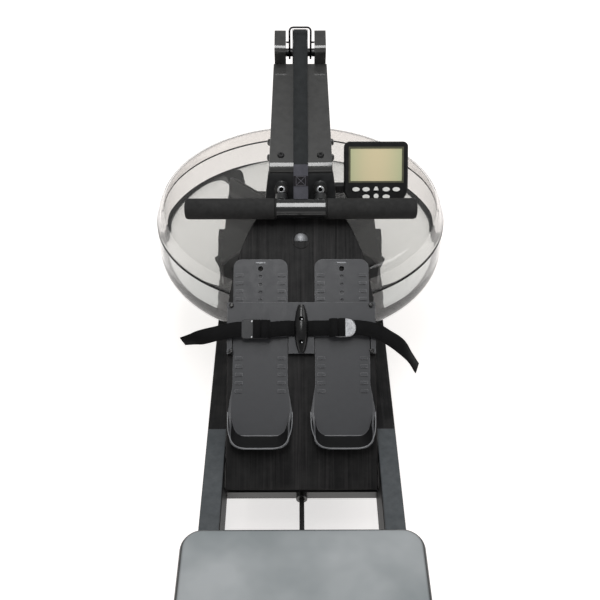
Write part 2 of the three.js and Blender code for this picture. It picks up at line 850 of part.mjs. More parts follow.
const gasketInner = tankRadius - tankWall + gasketInset;
const gasketOuter = tankRadius - gasketInset;
const gasket = turned([
  [gasketInner, seamZ - gasketHalf],
  [gasketOuter, seamZ - gasketHalf],
  [gasketOuter, seamZ + gasketHalf],
  [gasketInner, seamZ + gasketHalf],
  [gasketInner, seamZ - gasketHalf],
], tankSides).translate(0, tankCentreY, 0);
addPiece(machine, 'tank_gasket', gasket, rubberBlack);

// Paddle on its shaft, the bearing in the lid and the drum on top
const tankInsideFloor = lowerFloor + tankWall;
const paddleBottom = tankInsideFloor + paddleLift;
const drumBottom = topDeckTop + drumLift;
const drumHeight = 3 * drumFlangeThickness + recoilSpoolHeight + driveSpoolHeight;
const shaftTop = drumBottom + drumHeight + drumFlangeThickness;
const bearingTop = lidTop + lidBossHeight;
const bearingBottom = bearingTop - bearingHeight;

const blades = [];
for (let k = 0; k < paddleBladeCount; k += 1) {
  const root = paddleHubRadius / 2;
  const shape = roundedRectangle(paddleTipRadius - root, paddleBladeHeight, paddleBladeCorner);
  const blade = runAlongY(shape, -paddleBladeThickness / 2, paddleBladeThickness / 2, 1);
  blade.translate((root + paddleTipRadius) / 2, 0, paddleBottom + paddleBladeHeight / 2);
  blades.push(blade.rotateZ(((k + paddleTurnShare) / paddleBladeCount) * 2 * Math.PI));
}
const hub = rodZ(paddleHubRadius, paddleBottom, paddleBottom + paddleHubHeight, 0, 0);
const shaft = rodZ(shaftRadius, tankInsideFloor + shaftFloorGap, shaftTop, 0, 0);
const paddle = join(hub, shaft, ...blades);
addPiece(machine, 'paddle', paddle, blackPlastic).position.set(0, tankCentreY, 0);

const bearingOuter = lidBoreRadius - touchGap;
const bearing = turned([
  [shaftRadius + runningGap, bearingBottom],
  [bearingOuter, bearingBottom],
  [bearingOuter, bearingTop],
  [shaftRadius + runningGap, bearingTop],
  [shaftRadius + runningGap, bearingBottom],
]);
const bearingCollar = turned([
  [shaftRadius + runningGap, bearingBottom],
  [bearingFlangeRadius, bearingBottom],
  [bearingFlangeRadius, bearingBottom + bearingFlangeThickness],
  [bearingRadius, lidTop - tankWall - touchGap],
  [shaftRadius + runningGap, lidTop - tankWall - touchGap],
  [shaftRadius + runningGap, bearingBottom],
]);
addPiece(machine, 'shaft_bearing', join(bearing, bearingCollar), steel)
  .position.set(0, tankCentreY, 0);

const recoilSpoolBottom = drumBottom + drumFlangeThickness;
const driveSpoolBottom = recoilSpoolBottom + recoilSpoolHeight + drumFlangeThickness;
const driveSpoolTop = driveSpoolBottom + driveSpoolHeight;
const drum = turned([
  [shaftRadius + touchGap, drumBottom],
  [drumFlangeRadius, drumBottom],
  [drumFlangeRadius, recoilSpoolBottom],
  [drumCoreRadius, recoilSpoolBottom],
  [drumCoreRadius, recoilSpoolBottom + recoilSpoolHeight],
  [drumFlangeRadius, recoilSpoolBottom + recoilSpoolHeight],
  [drumFlangeRadius, driveSpoolBottom],
  [drumCoreRadius, driveSpoolBottom],
  [drumCoreRadius, driveSpoolTop],
  [drumFlangeRadius, driveSpoolTop],
  [drumFlangeRadius, driveSpoolTop + drumFlangeThickness],
  [shaftRadius + touchGap, driveSpoolTop + drumFlangeThickness],
  [shaftRadius + touchGap, drumBottom],
]);
addPiece(machine, 'drive_drum', drum, blackPlastic).position.set(0, tankCentreY, 0);

// Foot board, sloped in a group of its own: Y runs up the slope and Z is square to it
const slope = new THREE.Group();
slope.position.set(0, boardStartY, boardStartZ);
slope.rotation.x = boardSlope;
machine.add(slope);

const boardHalf = boardWidth / 2;
const boardStraight = boardLength * boardStraightShare;
const boardCurve = boardCurveShares.map(([across, along]) => new THREE.Vector2(
  boardHalf * across, boardLength * along));
const boardTop = boardCurve[boardCurve.length - 1];
const boardShape = new THREE.Shape();
boardShape.moveTo(-boardHalf, 0);
boardShape.lineTo(boardHalf, 0);
boardShape.lineTo(boardHalf, boardStraight);
boardShape.splineThru(boardCurve);
boardShape.lineTo(-boardTop.x, boardTop.y);
boardShape.splineThru([
  ...boardCurve.slice(0, -1).reverse().map((point) => new THREE.Vector2(-point.x, point.y)),
  new THREE.Vector2(-boardHalf, boardStraight),
]);
boardShape.closePath();
const board = bevelledSlab(boardShape, -boardThickness, boardThickness, boardBevel, 5);
const aprons = sides.map(([, sign]) => box(
  boardHalf - boardApronThickness - boardBevel, boardHalf - boardBevel,
  boardBevel, boardApronLength,
  -boardThickness - boardApronDepth, -boardThickness / 2).scale(sign, 1, 1));
const badge = rodZ(badgeRadius, -boardThickness / 2, badgeThickness, 0, badgeAlong);
addPiece(slope, 'foot_board', join(board, ...aprons, badge), darkWood);

// Height of the board's underside over a place along Y
function boardUnderside(y) {
  const drop = boardThickness / Math.cos(boardSlope);
  return boardStartZ - drop + (y - boardStartY) * Math.tan(boardSlope);
}

// Top deck over the tank, its near end cut to the board and forked round the recoil roller
const seatGapZ = touchGap / Math.cos(boardSlope);
const nearTopY = boardStartY + (topDeckTop + seatGapZ - boardUnderside(boardStartY)) / Math.tan(boardSlope);
const nearBottomY = nearTopY - topDeckThickness / Math.tan(boardSlope);
const cordTouchRadius = rollerGrooveRadius + touchGap + cordRadius;
const recoilSpoolMiddle = recoilSpoolBottom + recoilSpoolHeight / 2;
const upperRollerZ = recoilSpoolMiddle - cordTouchRadius;
const deckProfile = outline([
  [nearBottomY, topDeckBottom],
  [topDeckFarY, topDeckBottom],
  [topDeckFarY, topDeckTop],
  [nearTopY, topDeckTop],
]);
const earProfile = new THREE.Shape();
earProfile.moveTo(upperRollerY - topDeckEarRadius, topDeckTop - topDeckThickness / 2);
earProfile.lineTo(upperRollerY + topDeckEarRadius, topDeckTop - topDeckThickness / 2);
earProfile.lineTo(upperRollerY + topDeckEarRadius, upperRollerZ);
earProfile.absarc(upperRollerY, upperRollerZ, topDeckEarRadius, 0, Math.PI);
const earOuter = topDeckSlotHalfWidth + topDeckEarThickness;
const axleBore = rodX(rollerAxleRadius + runningGap,
  -earOuter - cutOverrun, earOuter + cutOverrun, upperRollerY, upperRollerZ);
const topDeckEars = sides.map(([, sign]) => runAlongX(
  earProfile, topDeckSlotHalfWidth, earOuter).scale(sign, 1, 1));
const topDeckSlot = box(-topDeckSlotHalfWidth, topDeckSlotHalfWidth,
  nearBottomY - cutOverrun, topDeckSlotFarY, topDeckBottom - cutOverrun, topDeckTop + cutOverrun);
const shaftHole = rodZ(shaftRadius + slidingGap,
  topDeckBottom - cutOverrun, topDeckTop + cutOverrun, 0, tankCentreY);
const topDeck = cut(
  join(runAlongX(deckProfile, -topDeckHalfWidth, topDeckHalfWidth), ...topDeckEars),
  topDeckSlot, shaftHole, axleBore);
addPiece(machine, 'top_deck', topDeck, darkWood);

// Panel that carries the board between the rails, with a slot for the recoil cord
const rollerRise = upperRollerZ - (cordZ + cordTouchRadius);
const rollerSpan = Math.hypot(upperRollerY - lowerRollerY, rollerRise);
const cordAngle = Math.atan2(rollerRise, upperRollerY - lowerRollerY)
  + Math.asin((2 * cordTouchRadius) / rollerSpan);
const lowerRollerZ = cordZ + cordTouchRadius;
function cordHeight(y) {
  const footY = lowerRollerY + cordTouchRadius * Math.sin(cordAngle);
  const footZ = lowerRollerZ - cordTouchRadius * Math.cos(cordAngle);
  return footZ + (y - footY) * Math.tan(cordAngle);
}
const supportHalf = railInner - touchGap;
const supportFarY = supportY + supportThickness;
const supportProfile = outline([
  [supportY, supportBottom],
  [supportFarY, supportBottom],
  [supportFarY, boardUnderside(supportFarY) - seatGapZ],
  [supportY, boardUnderside(supportY) - seatGapZ],
]);
const supportSlotMiddle = cordHeight(supportY + supportThickness / 2);
const support = cut(
  runAlongX(supportProfile, -supportHalf, supportHalf),
  box(-supportSlotHalfWidth, supportSlotHalfWidth, supportY - cutOverrun, supportFarY + cutOverrun,
    supportSlotMiddle - supportSlotHeight / 2, supportSlotMiddle + supportSlotHeight / 2));
addPiece(machine, 'board_support', support, darkWood);

// Foot pads: a flat plate with a flared heel cup whose wall leans out to a rim
function padOutline() {
  const top = padTopAlong;
  const neck = padNeckWidth / 2;
  const shape = new THREE.Shape();
  shape.moveTo(-padHeelWidth / 2, padFloorAlong);
  shape.lineTo(padHeelWidth / 2, padFloorAlong);
  shape.lineTo(padFlareWidth / 2, padFlareAlong);
  shape.lineTo(neck, padWaistAlong);
  shape.lineTo(neck, top - padCornerRadius);
  shape.absarc(neck - padCornerRadius, top - padCornerRadius, padCornerRadius, 0, Math.PI / 2);
  shape.lineTo(-neck + padCornerRadius, top);
  shape.absarc(-neck + padCornerRadius, top - padCornerRadius, padCornerRadius, Math.PI / 2, Math.PI);
  shape.lineTo(-neck, padWaistAlong);
  shape.lineTo(-padFlareWidth / 2, padFlareAlong);
  shape.closePath();
  return shape;
}

// Stations round the heel from one flare to the other, as [across, along] on the floor and on the rim
function heelStation(turn) {
  const angle = Math.PI * (1 + turn);
  const side = Math.sign(Math.cos(angle)) * Math.abs(Math.cos(angle)) ** padHeelRoundShare;
  const down = Math.sin(angle) === 0 ? 0 : -(Math.abs(Math.sin(angle)) ** padHeelRoundShare);
  const rise = Math.min(1, Math.abs(Math.sin(angle)) / padHeelRiseShare);
  const floorHalf = padHeelWidth / 2 + (padFlareWidth - padHeelWidth) / 2 * (1 + down);
  const floor = [side * floorHalf, padFlareAlong + down * (padFlareAlong - padFloorAlong)];
  const rim = [side * padFlareWidth / 2, padFlareAlong + down * (padFlareAlong - padRimAlong)];
  return { floor, rim, rise };
}

function heelWall() {
  const rings = [];
  for (let k = 0; k <= padRimSteps; k += 1) {
    const { floor, rim, rise } = heelStation(k / padRimSteps);
    const height = padThickness + (padRimHeight - padThickness) * rise;
    const lean = new THREE.Vector2(rim[0] - floor[0], rim[1] - floor[1]).multiplyScalar(rise);
    const inward = new THREE.Vector2(-floor[0], (padFlareAlong - floor[1]) || padThickness).normalize();
    const foot = new THREE.Vector2(...floor).addScaledVector(inward, padWallThickness / 2);
    const head = foot.clone().add(lean);
    const insideFoot = foot.clone().addScaledVector(inward, padWallThickness);
    const insideHead = head.clone().addScaledVector(inward, padWallThickness);
    rings.push([
      new THREE.Vector3(foot.x, foot.y, touchGap),
      new THREE.Vector3(insideFoot.x, insideFoot.y, touchGap),
      new THREE.Vector3(insideHead.x, insideHead.y, height),
      new THREE.Vector3(head.x, head.y, height),
    ]);
  }
  return skin(rings);
}

function footPad() {
  const plate = slab(padOutline(), touchGap, padThickness, 5);
  const ribs = [];
  const ribTop = touchGap + padThickness + padRibHeight;
  const ribPlaces = [];
  for (let k = 0; k < padUpperRibs; k += 1) ribPlaces.push(padHoleAlong - (k + 1) * padNotchPitch);
  for (let k = 0; k < padLowerRibs; k += 1) ribPlaces.push(padLowerRibAlong - (k + 1) * padNotchPitch);
  for (const along of ribPlaces) {
    for (const [, sign] of sides) {
      const outer = padNeckWidth / 2 - padRibInset;
      const rib = box(outer - padRibLength, outer,
        along, along + padRibWidth, touchGap + padThickness / 2, ribTop);
      ribs.push(rib.scale(sign, 1, 1));
    }
  }
  const through = touchGap + padThickness + cutOverrun;
  const slotCut = box(-padSlotWidth / 2, padSlotWidth / 2,
    padSlotAlong - padSlotLength / 2, padSlotAlong + padSlotLength / 2, -cutOverrun, through);
  const holeCut = rodZ(padHoleRadius, -cutOverrun, through, 0, padHoleAlong, 16);
  const notches = [];
  for (let k = 1; k <= padNotchCount; k += 1) {
    const along = padHoleAlong - k * padNotchPitch;
    notches.push(rodZ(padNotchRadius, touchGap + padThickness - padNotchDepth, through, 0, along, 8));
  }
  return cut(join(plate, heelWall(), ...ribs), slotCut, holeCut, ...notches);
}

for (const [side, sign] of sides) {
  addPiece(slope, `foot_pad_${side}`, footPad(), padGrey).position.x = sign * padCentreX;
}

// Bridge plate over the pads, standing on three legs
const bridgeUnder = touchGap + padThickness + padRibHeight + slidingGap;
const bridgeTop = bridgeUnder + bridgeThickness;
const bridgeLegs = [
  [-bridgeWidth / 2, -bridgeSideLegX],
  [-bridgeCentreLegX, bridgeCentreLegX],
  [bridgeSideLegX, bridgeWidth / 2],
].map(([from, to]) => box(from, to, bridgeLegAlong, bridgeTopAlong, touchGap, bridgeTop));
const bridgeScrews = [];
for (const [, sign] of sides) {
  for (const along of [bridgeTopAlong - bridgeScrewInset, bridgeLegAlong + bridgeScrewInset]) {
    bridgeScrews.push(rodZ(bridgeScrewRadius, bridgeUnder, bridgeTop + bridgeScrewHeight,
      sign * (bridgeSideLegX + bridgeWidth / 2) / 2, along, 12));
  }
}
const bridgePlate = box(-bridgeWidth / 2, bridgeWidth / 2,
  bridgeBottomAlong, bridgeTopAlong, bridgeUnder, bridgeTop);
addPiece(slope, 'foot_bridge', join(bridgePlate, ...bridgeLegs, ...bridgeScrews), padGrey);

// Strap clamp: a boat-shaped block over the middle leg, slotted for the straps
const clampRings = [];
const clampFoot = bridgeTop + touchGap;
for (let k = 0; k <= clampSteps; k += 1) {
  const share = k / clampSteps;
  const swell = Math.sin(Math.PI * (clampEndShare + (1 - 2 * clampEndShare) * share));
  const half = (clampWidth / 2) * swell ** clampFullShare;
  const rise = clampHeight * (clampLowShare + (1 - clampLowShare) * swell);
  const along = clampAlong - clampLength / 2 + share * clampLength;
  const ring = [new THREE.Vector3(-half, along, clampFoot), new THREE.Vector3(half, along, clampFoot)];
  for (let i = 0; i <= clampArcSteps; i += 1) {
    const angle = (i / clampArcSteps) * Math.PI;
    const lift = clampFoot + rise * (clampShoulderShare + (1 - clampShoulderShare) * Math.sin(angle));
    ring.push(new THREE.Vector3(half * Math.cos(angle), along, lift));
  }
  clampRings.push(ring);
}
const strapSlotFoot = clampFoot + strapThickness / 2;
const clampSlot = box(-clampWidth, clampWidth, clampAlong - strapWidth / 2 - slidingGap,
  clampAlong + strapWidth / 2 + slidingGap, strapSlotFoot, strapSlotFoot + clampSlotHeight);
addPiece(slope, 'strap_clamp', cut(skin(clampRings), clampSlot), blackPlastic);

// Foot straps: bands in the slope's own frame, each ending in a hanging tail
const strapLevel = strapSlotFoot + clampSlotHeight / 2;
function strapStations(shares, tailTurns, sign) {
  return shares.map(([out, up, lift, drop], k) => {
    const turn = tailTurns[k - shares.length + tailTurns.length] ?? [0, 1, 0];
    const at = new THREE.Vector3(
      sign * out * (boardWidth / 2),
      clampAlong + up * strapWidth,
      strapLevel + lift * strapThickness - drop * strapTailDrop);
    return { at, wide: new THREE.Vector3(...turn) };
  });
}
const leftStrap = band(strapStations(leftStrapShares, leftTailTurns, -1), strapWidth, strapThickness);
const rightStrap = band(strapStations(rightStrapShares, rightTailTurns, 1), strapWidth, strapThickness);
addPiece(slope, 'foot_strap_left', leftStrap, webbing);
addPiece(slope, 'foot_strap_right', rightStrap, webbing);

// Buckles: a plate round its strap, solid towards the tail and with a barred window towards the clamp
function buckle(length, width, corner) {
  const passHalf = strapThickness / 2 + slidingGap;
  const face = roundedRectangle(length, width, corner);
  const body = bevelledSlab(face, -buckleHeight / 2, buckleHeight, buckleEdge, 3);
  const passSide = strapWidth / 2 + slidingGap;
  const pass = box(-length, length, -passSide, passSide, -passHalf, passHalf);
  const windowFrom = buckleFrame - length / 2;
  const barFrom = (windowFrom - buckleBar) / 2;
  const windows = [[windowFrom, barFrom], [barFrom + buckleBar, 0]].map(([from, to]) => box(
    from, to, -buckleWindow / 2, buckleWindow / 2, 0, buckleHeight));
  return cut(body, pass, ...windows);
}

const strapRun = strapLevel + 2 * strapThickness;
const leftBuckle = buckle(leftBuckleLength, leftBuckleWidth, leftBuckleCorner).scale(-1, 1, 1);
addPiece(slope, 'buckle_left', leftBuckle, blackPlastic)
  .position.set(-leftBuckleShare * (boardWidth / 2), clampAlong - strapThickness, strapRun);
addPiece(slope, 'buckle_right', buckle(rightBuckleLength, rightBuckleWidth, rightBuckleCorner), steel)
  .position.set(rightBuckleShare * (boardWidth / 2), clampAlong, strapRun);

// Neck, sloped in a group of its own: Y runs up the neck and Z is square to it
const neck = new THREE.Group();
neck.position.set(0, neckStartY, neckStartZ);
neck.rotation.x = neckSlope;
machine.add(neck);

// World place of a point given along and above the neck
function neckPoint(along, above) {
  return {
    y: neckStartY + along * Math.cos(neckSlope) - above * Math.sin(neckSlope),
    z: neckStartZ + along * Math.sin(neckSlope) + above * Math.cos(neckSlope),
  };
}

const plateProfile = new THREE.Shape();
const lipEnd = Math.PI / 2 - neckSlope;
plateProfile.moveTo(neckLength, 0);
plateProfile.lineTo(0, 0);
for (let k = 1; k <= neckLipSteps; k += 1) {
  const angle = (k / neckLipSteps) * lipEnd;
  plateProfile.lineTo(-neckLipRadius * Math.sin(angle), -neckLipRadius * (1 - Math.cos(angle)));
}
const lipInner = neckLipRadius - neckPlateThickness;
for (let k = neckLipSteps; k >= 0; k -= 1) {
  const angle = (k / neckLipSteps) * lipEnd;
  plateProfile.lineTo(-lipInner * Math.sin(angle), -neckLipRadius + lipInner * Math.cos(angle));
}
plateProfile.lineTo(neckLength, -neckPlateThickness);
plateProfile.closePath();
const plateTaper = outline([
  [-neckLowerHalfWidth, -neckLipRadius],
  [neckLowerHalfWidth, -neckLipRadius],
  [neckUpperHalfWidth, neckLength + cutOverrun],
  [-neckUpperHalfWidth, neckLength + cutOverrun],
]);
const plateBlank = runAlongX(plateProfile, -neckLowerHalfWidth, neckLowerHalfWidth);
const plateSides = slab(plateTaper, -neckLipRadius - cutOverrun, neckLipRadius + 2 * cutOverrun);
addPiece(neck, 'neck_top_plate', meet(plateBlank, plateSides), metalDark);

// Cheeks under the plate, each with two domed bolt heads outside
const lipFace = neckPoint(0, -neckLipRadius);
const blockFrontY = lipFace.y - neckLipRadius;
const blockTop = lipFace.z - touchGap;
const blockLean = Math.tan(THREE.MathUtils.degToRad(frontBlockLeanDeg));
const cheekNearY = blockFrontY + frontBlockThickness + touchGap;
const cheekFoot = topDeckTop + touchGap;
const cheekNearFootY = cheekNearY - blockLean * (blockTop - cheekFoot);
const plateUnder = -neckPlateThickness - touchGap;
const cheekUpper = neckPoint(neckLength, plateUnder);
const cheekMid = neckPoint(neckLipRadius / 2, plateUnder);
const cheekProfile = outline([
  [cheekNearFootY, cheekFoot],
  [cheekUpper.y - cheekFarInset, cheekFoot],
  [cheekUpper.y, cheekUpper.z - yokeBridgeLength],
  [cheekUpper.y, cheekUpper.z],
  [cheekMid.y, cheekMid.z],
  [cheekNearY, lipFace.z - neckPlateThickness],
]);
for (const [side, sign] of sides) {
  const bolts = [0, 1].map((k) => {
    const place = neckPoint(cheekBoltNear + k * cheekBoltPitch, -cheekBoltDrop);
    const head = turnedX([
      [0, 0],
      [cheekBoltRadius, 0],
      ...cheekBoltShares.map(([wide, high]) => [cheekBoltRadius * wide, cheekBoltHeight * high]),
      [0, cheekBoltHeight],
    ], 14);
    return head.translate(cheekOuterX - cheekThickness / 2, place.y, place.z);
  });
  const plate = runAlongX(cheekProfile, cheekOuterX - cheekThickness, cheekOuterX);
  addPiece(machine, `neck_cheek_${side}`, join(plate, ...bolts).scale(sign, 1, 1), metalDark);
}

// Front block below the lip, leaning out to its foot, with two rests that the handle lies against
const restFrontY = handleY + handleSleeveRadius + runningGap;
const blockFootY = blockFrontY - blockLean * (blockTop - cheekFoot);
const restRootY = blockFrontY - blockLean * (blockTop - handleZ) + frontBlockThickness / 2;
const blockProfile = outline([
  [blockFootY, cheekFoot],
  [blockFootY + frontBlockThickness, cheekFoot],
  [blockFrontY + frontBlockThickness, blockTop],
  [blockFrontY, blockTop],
]);
const blockFront = outline([
  [-frontBlockBottomHalfWidth, cheekFoot - cutOverrun],
  [frontBlockBottomHalfWidth, cheekFoot - cutOverrun],
  [frontBlockTopHalfWidth, blockTop + cutOverrun],
  [-frontBlockTopHalfWidth, blockTop + cutOverrun],
]);
const rests = [-restX, restX].map((x) => rodY(restRadius, restFrontY, restRootY, x, handleZ));
const block = meet(
  runAlongX(blockProfile, -frontBlockBottomHalfWidth, frontBlockBottomHalfWidth),
  runAlongY(blockFront, blockFootY - cutOverrun, blockFrontY + frontBlockThickness + cutOverrun));
const blockDoor = box(-blockDoorHalfWidth, blockDoorHalfWidth,
  blockFootY - cutOverrun, blockFrontY + frontBlockThickness + cutOverrun,
  cheekFoot - cutOverrun, recoilSpoolMiddle + cordRadius + blockDoorMargin);
addPiece(machine, 'neck_front_block', cut(join(block, ...rests), blockDoor), metalDark);

// Yoke: two ears joined by a bridge under the plate's upper end
const earShape = new THREE.Shape();
const earNear = neckLength + touchGap;
earShape.moveTo(earNear, earBottom);
earShape.lineTo(earFarAlong, earBottom);
earShape.lineTo(earFarAlong, earTop - earFarRadius);
earShape.absarc(earFarAlong - earFarRadius, earTop - earFarRadius, earFarRadius, 0, Math.PI / 2);
earShape.lineTo(earNear + earCornerRadius, earTop);
earShape.absarc(earNear + earCornerRadius, earTop - earCornerRadius, earCornerRadius, Math.PI / 2, Math.PI);
earShape.closePath();
const ears = sides.map(([, sign]) => runAlongX(earShape, earInnerX, earOuterX).scale(sign, 1, 1));
const yokeTop = -neckPlateThickness - touchGap;
const yokeHalf = cheekOuterX - cheekThickness - touchGap;
const yokeBridge = box(-yokeHalf, yokeHalf, neckLength - yokeBridgeLength, earNear + touchGap,
  yokeTop - yokeBridgeThickness, yokeTop);
const earFoot = sides.map(([, sign]) => box(
  earInnerX, yokeHalf, neckLength - yokeBridgeLength / 2, earFarAlong - earCornerRadius,
  yokeTop - yokeBridgeThickness, yokeTop).scale(sign, 1, 1));
const axleHole = rodX(pulleyAxleRadius + touchGap, -earOuterX - cutOverrun, earOuterX + cutOverrun,
  pulleyAlong, pulleyAbove);
addPiece(neck, 'pulley_yoke', cut(join(...ears, yokeBridge, ...earFoot), axleHole), blackPlastic);

const axle = rodX(pulleyAxleRadius, -earOuterX, earOuterX, pulleyAlong, pulleyAbove);
addPiece(neck, 'pulley_axle', axle, steel);

const pulleyBore = pulleyAxleRadius + runningGap;
const pulleyHalf = pulleyWidth / 2;
const pulley = turnedX([
  [pulleyBore, -pulleyHalf],
  [pulleyFlangeRadius, -pulleyHalf],
  [pulleyFlangeRadius, -pulleyHalf + pulleyFlangeWidth],
  [pulleyCoreRadius, -pulleyHalf + pulleyFlangeWidth],
  [pulleyCoreRadius, pulleyHalf - pulleyFlangeWidth],
  [pulleyFlangeRadius, pulleyHalf - pulleyFlangeWidth],
  [pulleyFlangeRadius, pulleyHalf],
  [pulleyBore, pulleyHalf],
  [pulleyBore, -pulleyHalf],
], 26);
addPiece(neck, 'top_pulley', pulley, blackPlastic).position.set(0, pulleyAlong, pulleyAbove);

// Wire guard that stands round the strap in front of the axle, held by a stub in each ear
const pulleyPlace = neckPoint(pulleyAlong, pulleyAbove);
const guardY = pulleyPlace.y - guardForward;
const guardBarZ = pulleyPlace.z + guardBarAbove;
const guardPoints = [];
guardPoints.push(new THREE.Vector3(-guardHalfWidth, guardY, pulleyPlace.z - guardLegBelow));
for (let k = 0; k <= guardArcSteps; k += 1) {
  const angle = Math.PI - (k / guardArcSteps) * (Math.PI / 2);
  guardPoints.push(new THREE.Vector3(-guardHalfWidth + guardCorner + guardCorner * Math.cos(angle), guardY,
    guardBarZ - guardCorner + guardCorner * Math.sin(angle)));
}
for (let k = 0; k <= guardArcSteps; k += 1) {
  const angle = Math.PI / 2 - (k / guardArcSteps) * (Math.PI / 2);
  guardPoints.push(new THREE.Vector3(guardHalfWidth - guardCorner + guardCorner * Math.cos(angle), guardY,
    guardBarZ - guardCorner + guardCorner * Math.sin(angle)));
}
guardPoints.push(new THREE.Vector3(guardHalfWidth, guardY, pulleyPlace.z - guardLegBelow));

const guardStubZ = pulleyPlace.z + guardStubAbove;
const guardStub = rodX(guardWireRadius,
  guardHalfWidth, earInnerX - touchGap, guardY, guardStubZ, guardWireSides);
const guardStubs = sides.map(([, sign]) => guardStub.clone().scale(sign, 1, 1));
const guard = join(tube(guardPoints, guardWireRadius, guardWireSides), ...guardStubs);
addPiece(machine, 'strap_guard', guard, steel);

// Handle: a bar with a thicker sleeve in the middle, and a grip on each end
const gripInner = handleSleeveHalf + touchGap;
const bar = turnedX([
  [0, -handleHalfLength + gripEndRadius],
  [handleCoreRadius, -handleHalfLength + gripEndRadius],
  [handleCoreRadius, -handleSleeveHalf],
  [handleSleeveRadius, -handleSleeveHalf],
  [handleSleeveRadius, handleSleeveHalf],
  [handleCoreRadius, handleSleeveHalf],
  [handleCoreRadius, handleHalfLength - gripEndRadius],
  [0, handleHalfLength - gripEndRadius],
]);
addPiece(machine, 'handle_bar', bar, metalDark).position.set(0, handleY, handleZ);
for (const [side, sign] of sides) {
  const bore = handleCoreRadius + touchGap;
  const pocket = handleHalfLength - gripEndRadius + touchGap;
  const grip = turnedX([
    [bore, gripInner],
    [gripRadius, gripInner],
    [gripRadius, handleHalfLength - gripEndRadius],
    [gripRadius - gripEndRadius * gripRoundShare, handleHalfLength - gripEndRadius * gripRoundShare],
    [gripRadius - gripEndRadius, handleHalfLength],
    [0, handleHalfLength],
    [0, pocket],
    [bore, pocket],
    [bore, gripInner],
  ]).scale(sign, 1, 1);
  addPiece(machine, `handle_grip_${side}`, grip, foamBlack).position.set(0, handleY, handleZ);
}

// Drive strap: from the handle over the neck's lip and the pulley, down to the drum with a quarter twist
const strapAcross = new THREE.Vector3(1, 0, 0);
const driveStations = [];
const lipCentre = neckPoint(0, -neckLipRadius);
const lipTrack = neckLipRadius + driveLift;
const pullAngle = THREE.MathUtils.degToRad(handlePullDeg);
const bendFrom = Math.PI / 2 + pullAngle;
const pulleyTrack = pulleyCoreRadius + touchGap + driveThickness / 2;
const spanY = pulleyPlace.y - lipCentre.y;
const spanZ = pulleyPlace.z - lipCentre.z;
const span = Math.hypot(spanY, spanZ);
const spanAngle = Math.atan2(spanZ, spanY) + Math.asin((pulleyTrack - lipTrack) / span);
const bendTo = Math.PI / 2 + spanAngle;
const bendStart = {
  y: lipCentre.y + lipTrack * Math.cos(bendFrom),
  z: lipCentre.z + lipTrack * Math.sin(bendFrom),
};
const handleReach = (bendStart.y - handleY) * Math.cos(pullAngle)
  + (bendStart.z - handleZ) * Math.sin(pullAngle);
const sleeveSide = handleSleeveRadius + runningGap;
const strapFootY = bendStart.y - (handleReach - sleeveSide) * Math.cos(pullAngle);
const strapFootZ = bendStart.z - (handleReach - sleeveSide) * Math.sin(pullAngle);
driveStations.push({ at: new THREE.Vector3(0, strapFootY, strapFootZ), wide: strapAcross });
for (let k = 0; k <= driveBendSteps; k += 1) {
  const angle = bendFrom + (k / driveBendSteps) * (bendTo - bendFrom);
  driveStations.push({
    at: new THREE.Vector3(
      0, lipCentre.y + lipTrack * Math.cos(angle), lipCentre.z + lipTrack * Math.sin(angle)),
    wide: strapAcross,
  });
}

// The strap winds on the drum's drive spool in a closed ring that it joins at a tangent
const woundInner = drumCoreRadius + touchGap;
const woundOuter = woundInner + driveWoundThickness;
const drumRunX = woundOuter - driveThickness / 2;
const drumRunZ = driveSpoolBottom + driveSpoolHeight / 2;
const leaveRun = new THREE.Vector2(tankCentreY - pulleyPlace.y, drumRunZ - pulleyPlace.z).normalize();
const leaveAngle = Math.atan2(leaveRun.x, -leaveRun.y);
for (let k = 0; k <= driveWrapSteps; k += 1) {
  const angle = bendTo + (k / driveWrapSteps) * (leaveAngle - bendTo);
  driveStations.push({
    at: new THREE.Vector3(
      0, pulleyPlace.y + pulleyTrack * Math.cos(angle), pulleyPlace.z + pulleyTrack * Math.sin(angle)),
    wide: strapAcross,
  });
}
const twistStart = driveStations[driveStations.length - 1].at.clone();
const twistEnd = new THREE.Vector3(drumRunX, tankCentreY + driveStraight, drumRunZ);
const twistLength = twistStart.distanceTo(twistEnd);
const leaveOut = new THREE.Vector3(0, leaveRun.x, leaveRun.y);
const arriveIn = new THREE.Vector3(0, -1, 0);
const twistCurve = new THREE.CubicBezierCurve3(
  twistStart,
  twistStart.clone().addScaledVector(leaveOut, twistLength * drivePullShare),
  twistEnd.clone().addScaledVector(arriveIn, -twistLength * drivePullShare),
  twistEnd);
for (let k = 1; k <= driveTwistSteps; k += 1) {
  const share = k / driveTwistSteps;
  const turn = (share * Math.PI) / 2;
  driveStations.push({
    at: twistCurve.getPoint(share),
    wide: new THREE.Vector3(Math.cos(turn), 0, Math.sin(turn)),
  });
}
driveStations.push({
  at: new THREE.Vector3(drumRunX, tankCentreY, drumRunZ),
  wide: new THREE.Vector3(0, 0, 1),
});
const wound = turned([
  [woundInner, drumRunZ - driveWidth / 2],
  [woundOuter, drumRunZ - driveWidth / 2],
  [woundOuter, drumRunZ + driveWidth / 2],
  [woundInner, drumRunZ + driveWidth / 2],
  [woundInner, drumRunZ - driveWidth / 2],
], 32).translate(0, tankCentreY, 0);
const driveBand = band(driveStations, driveWidth, driveThickness);
addPiece(machine, 'drive_strap', join(driveBand, wound), strapGrey);

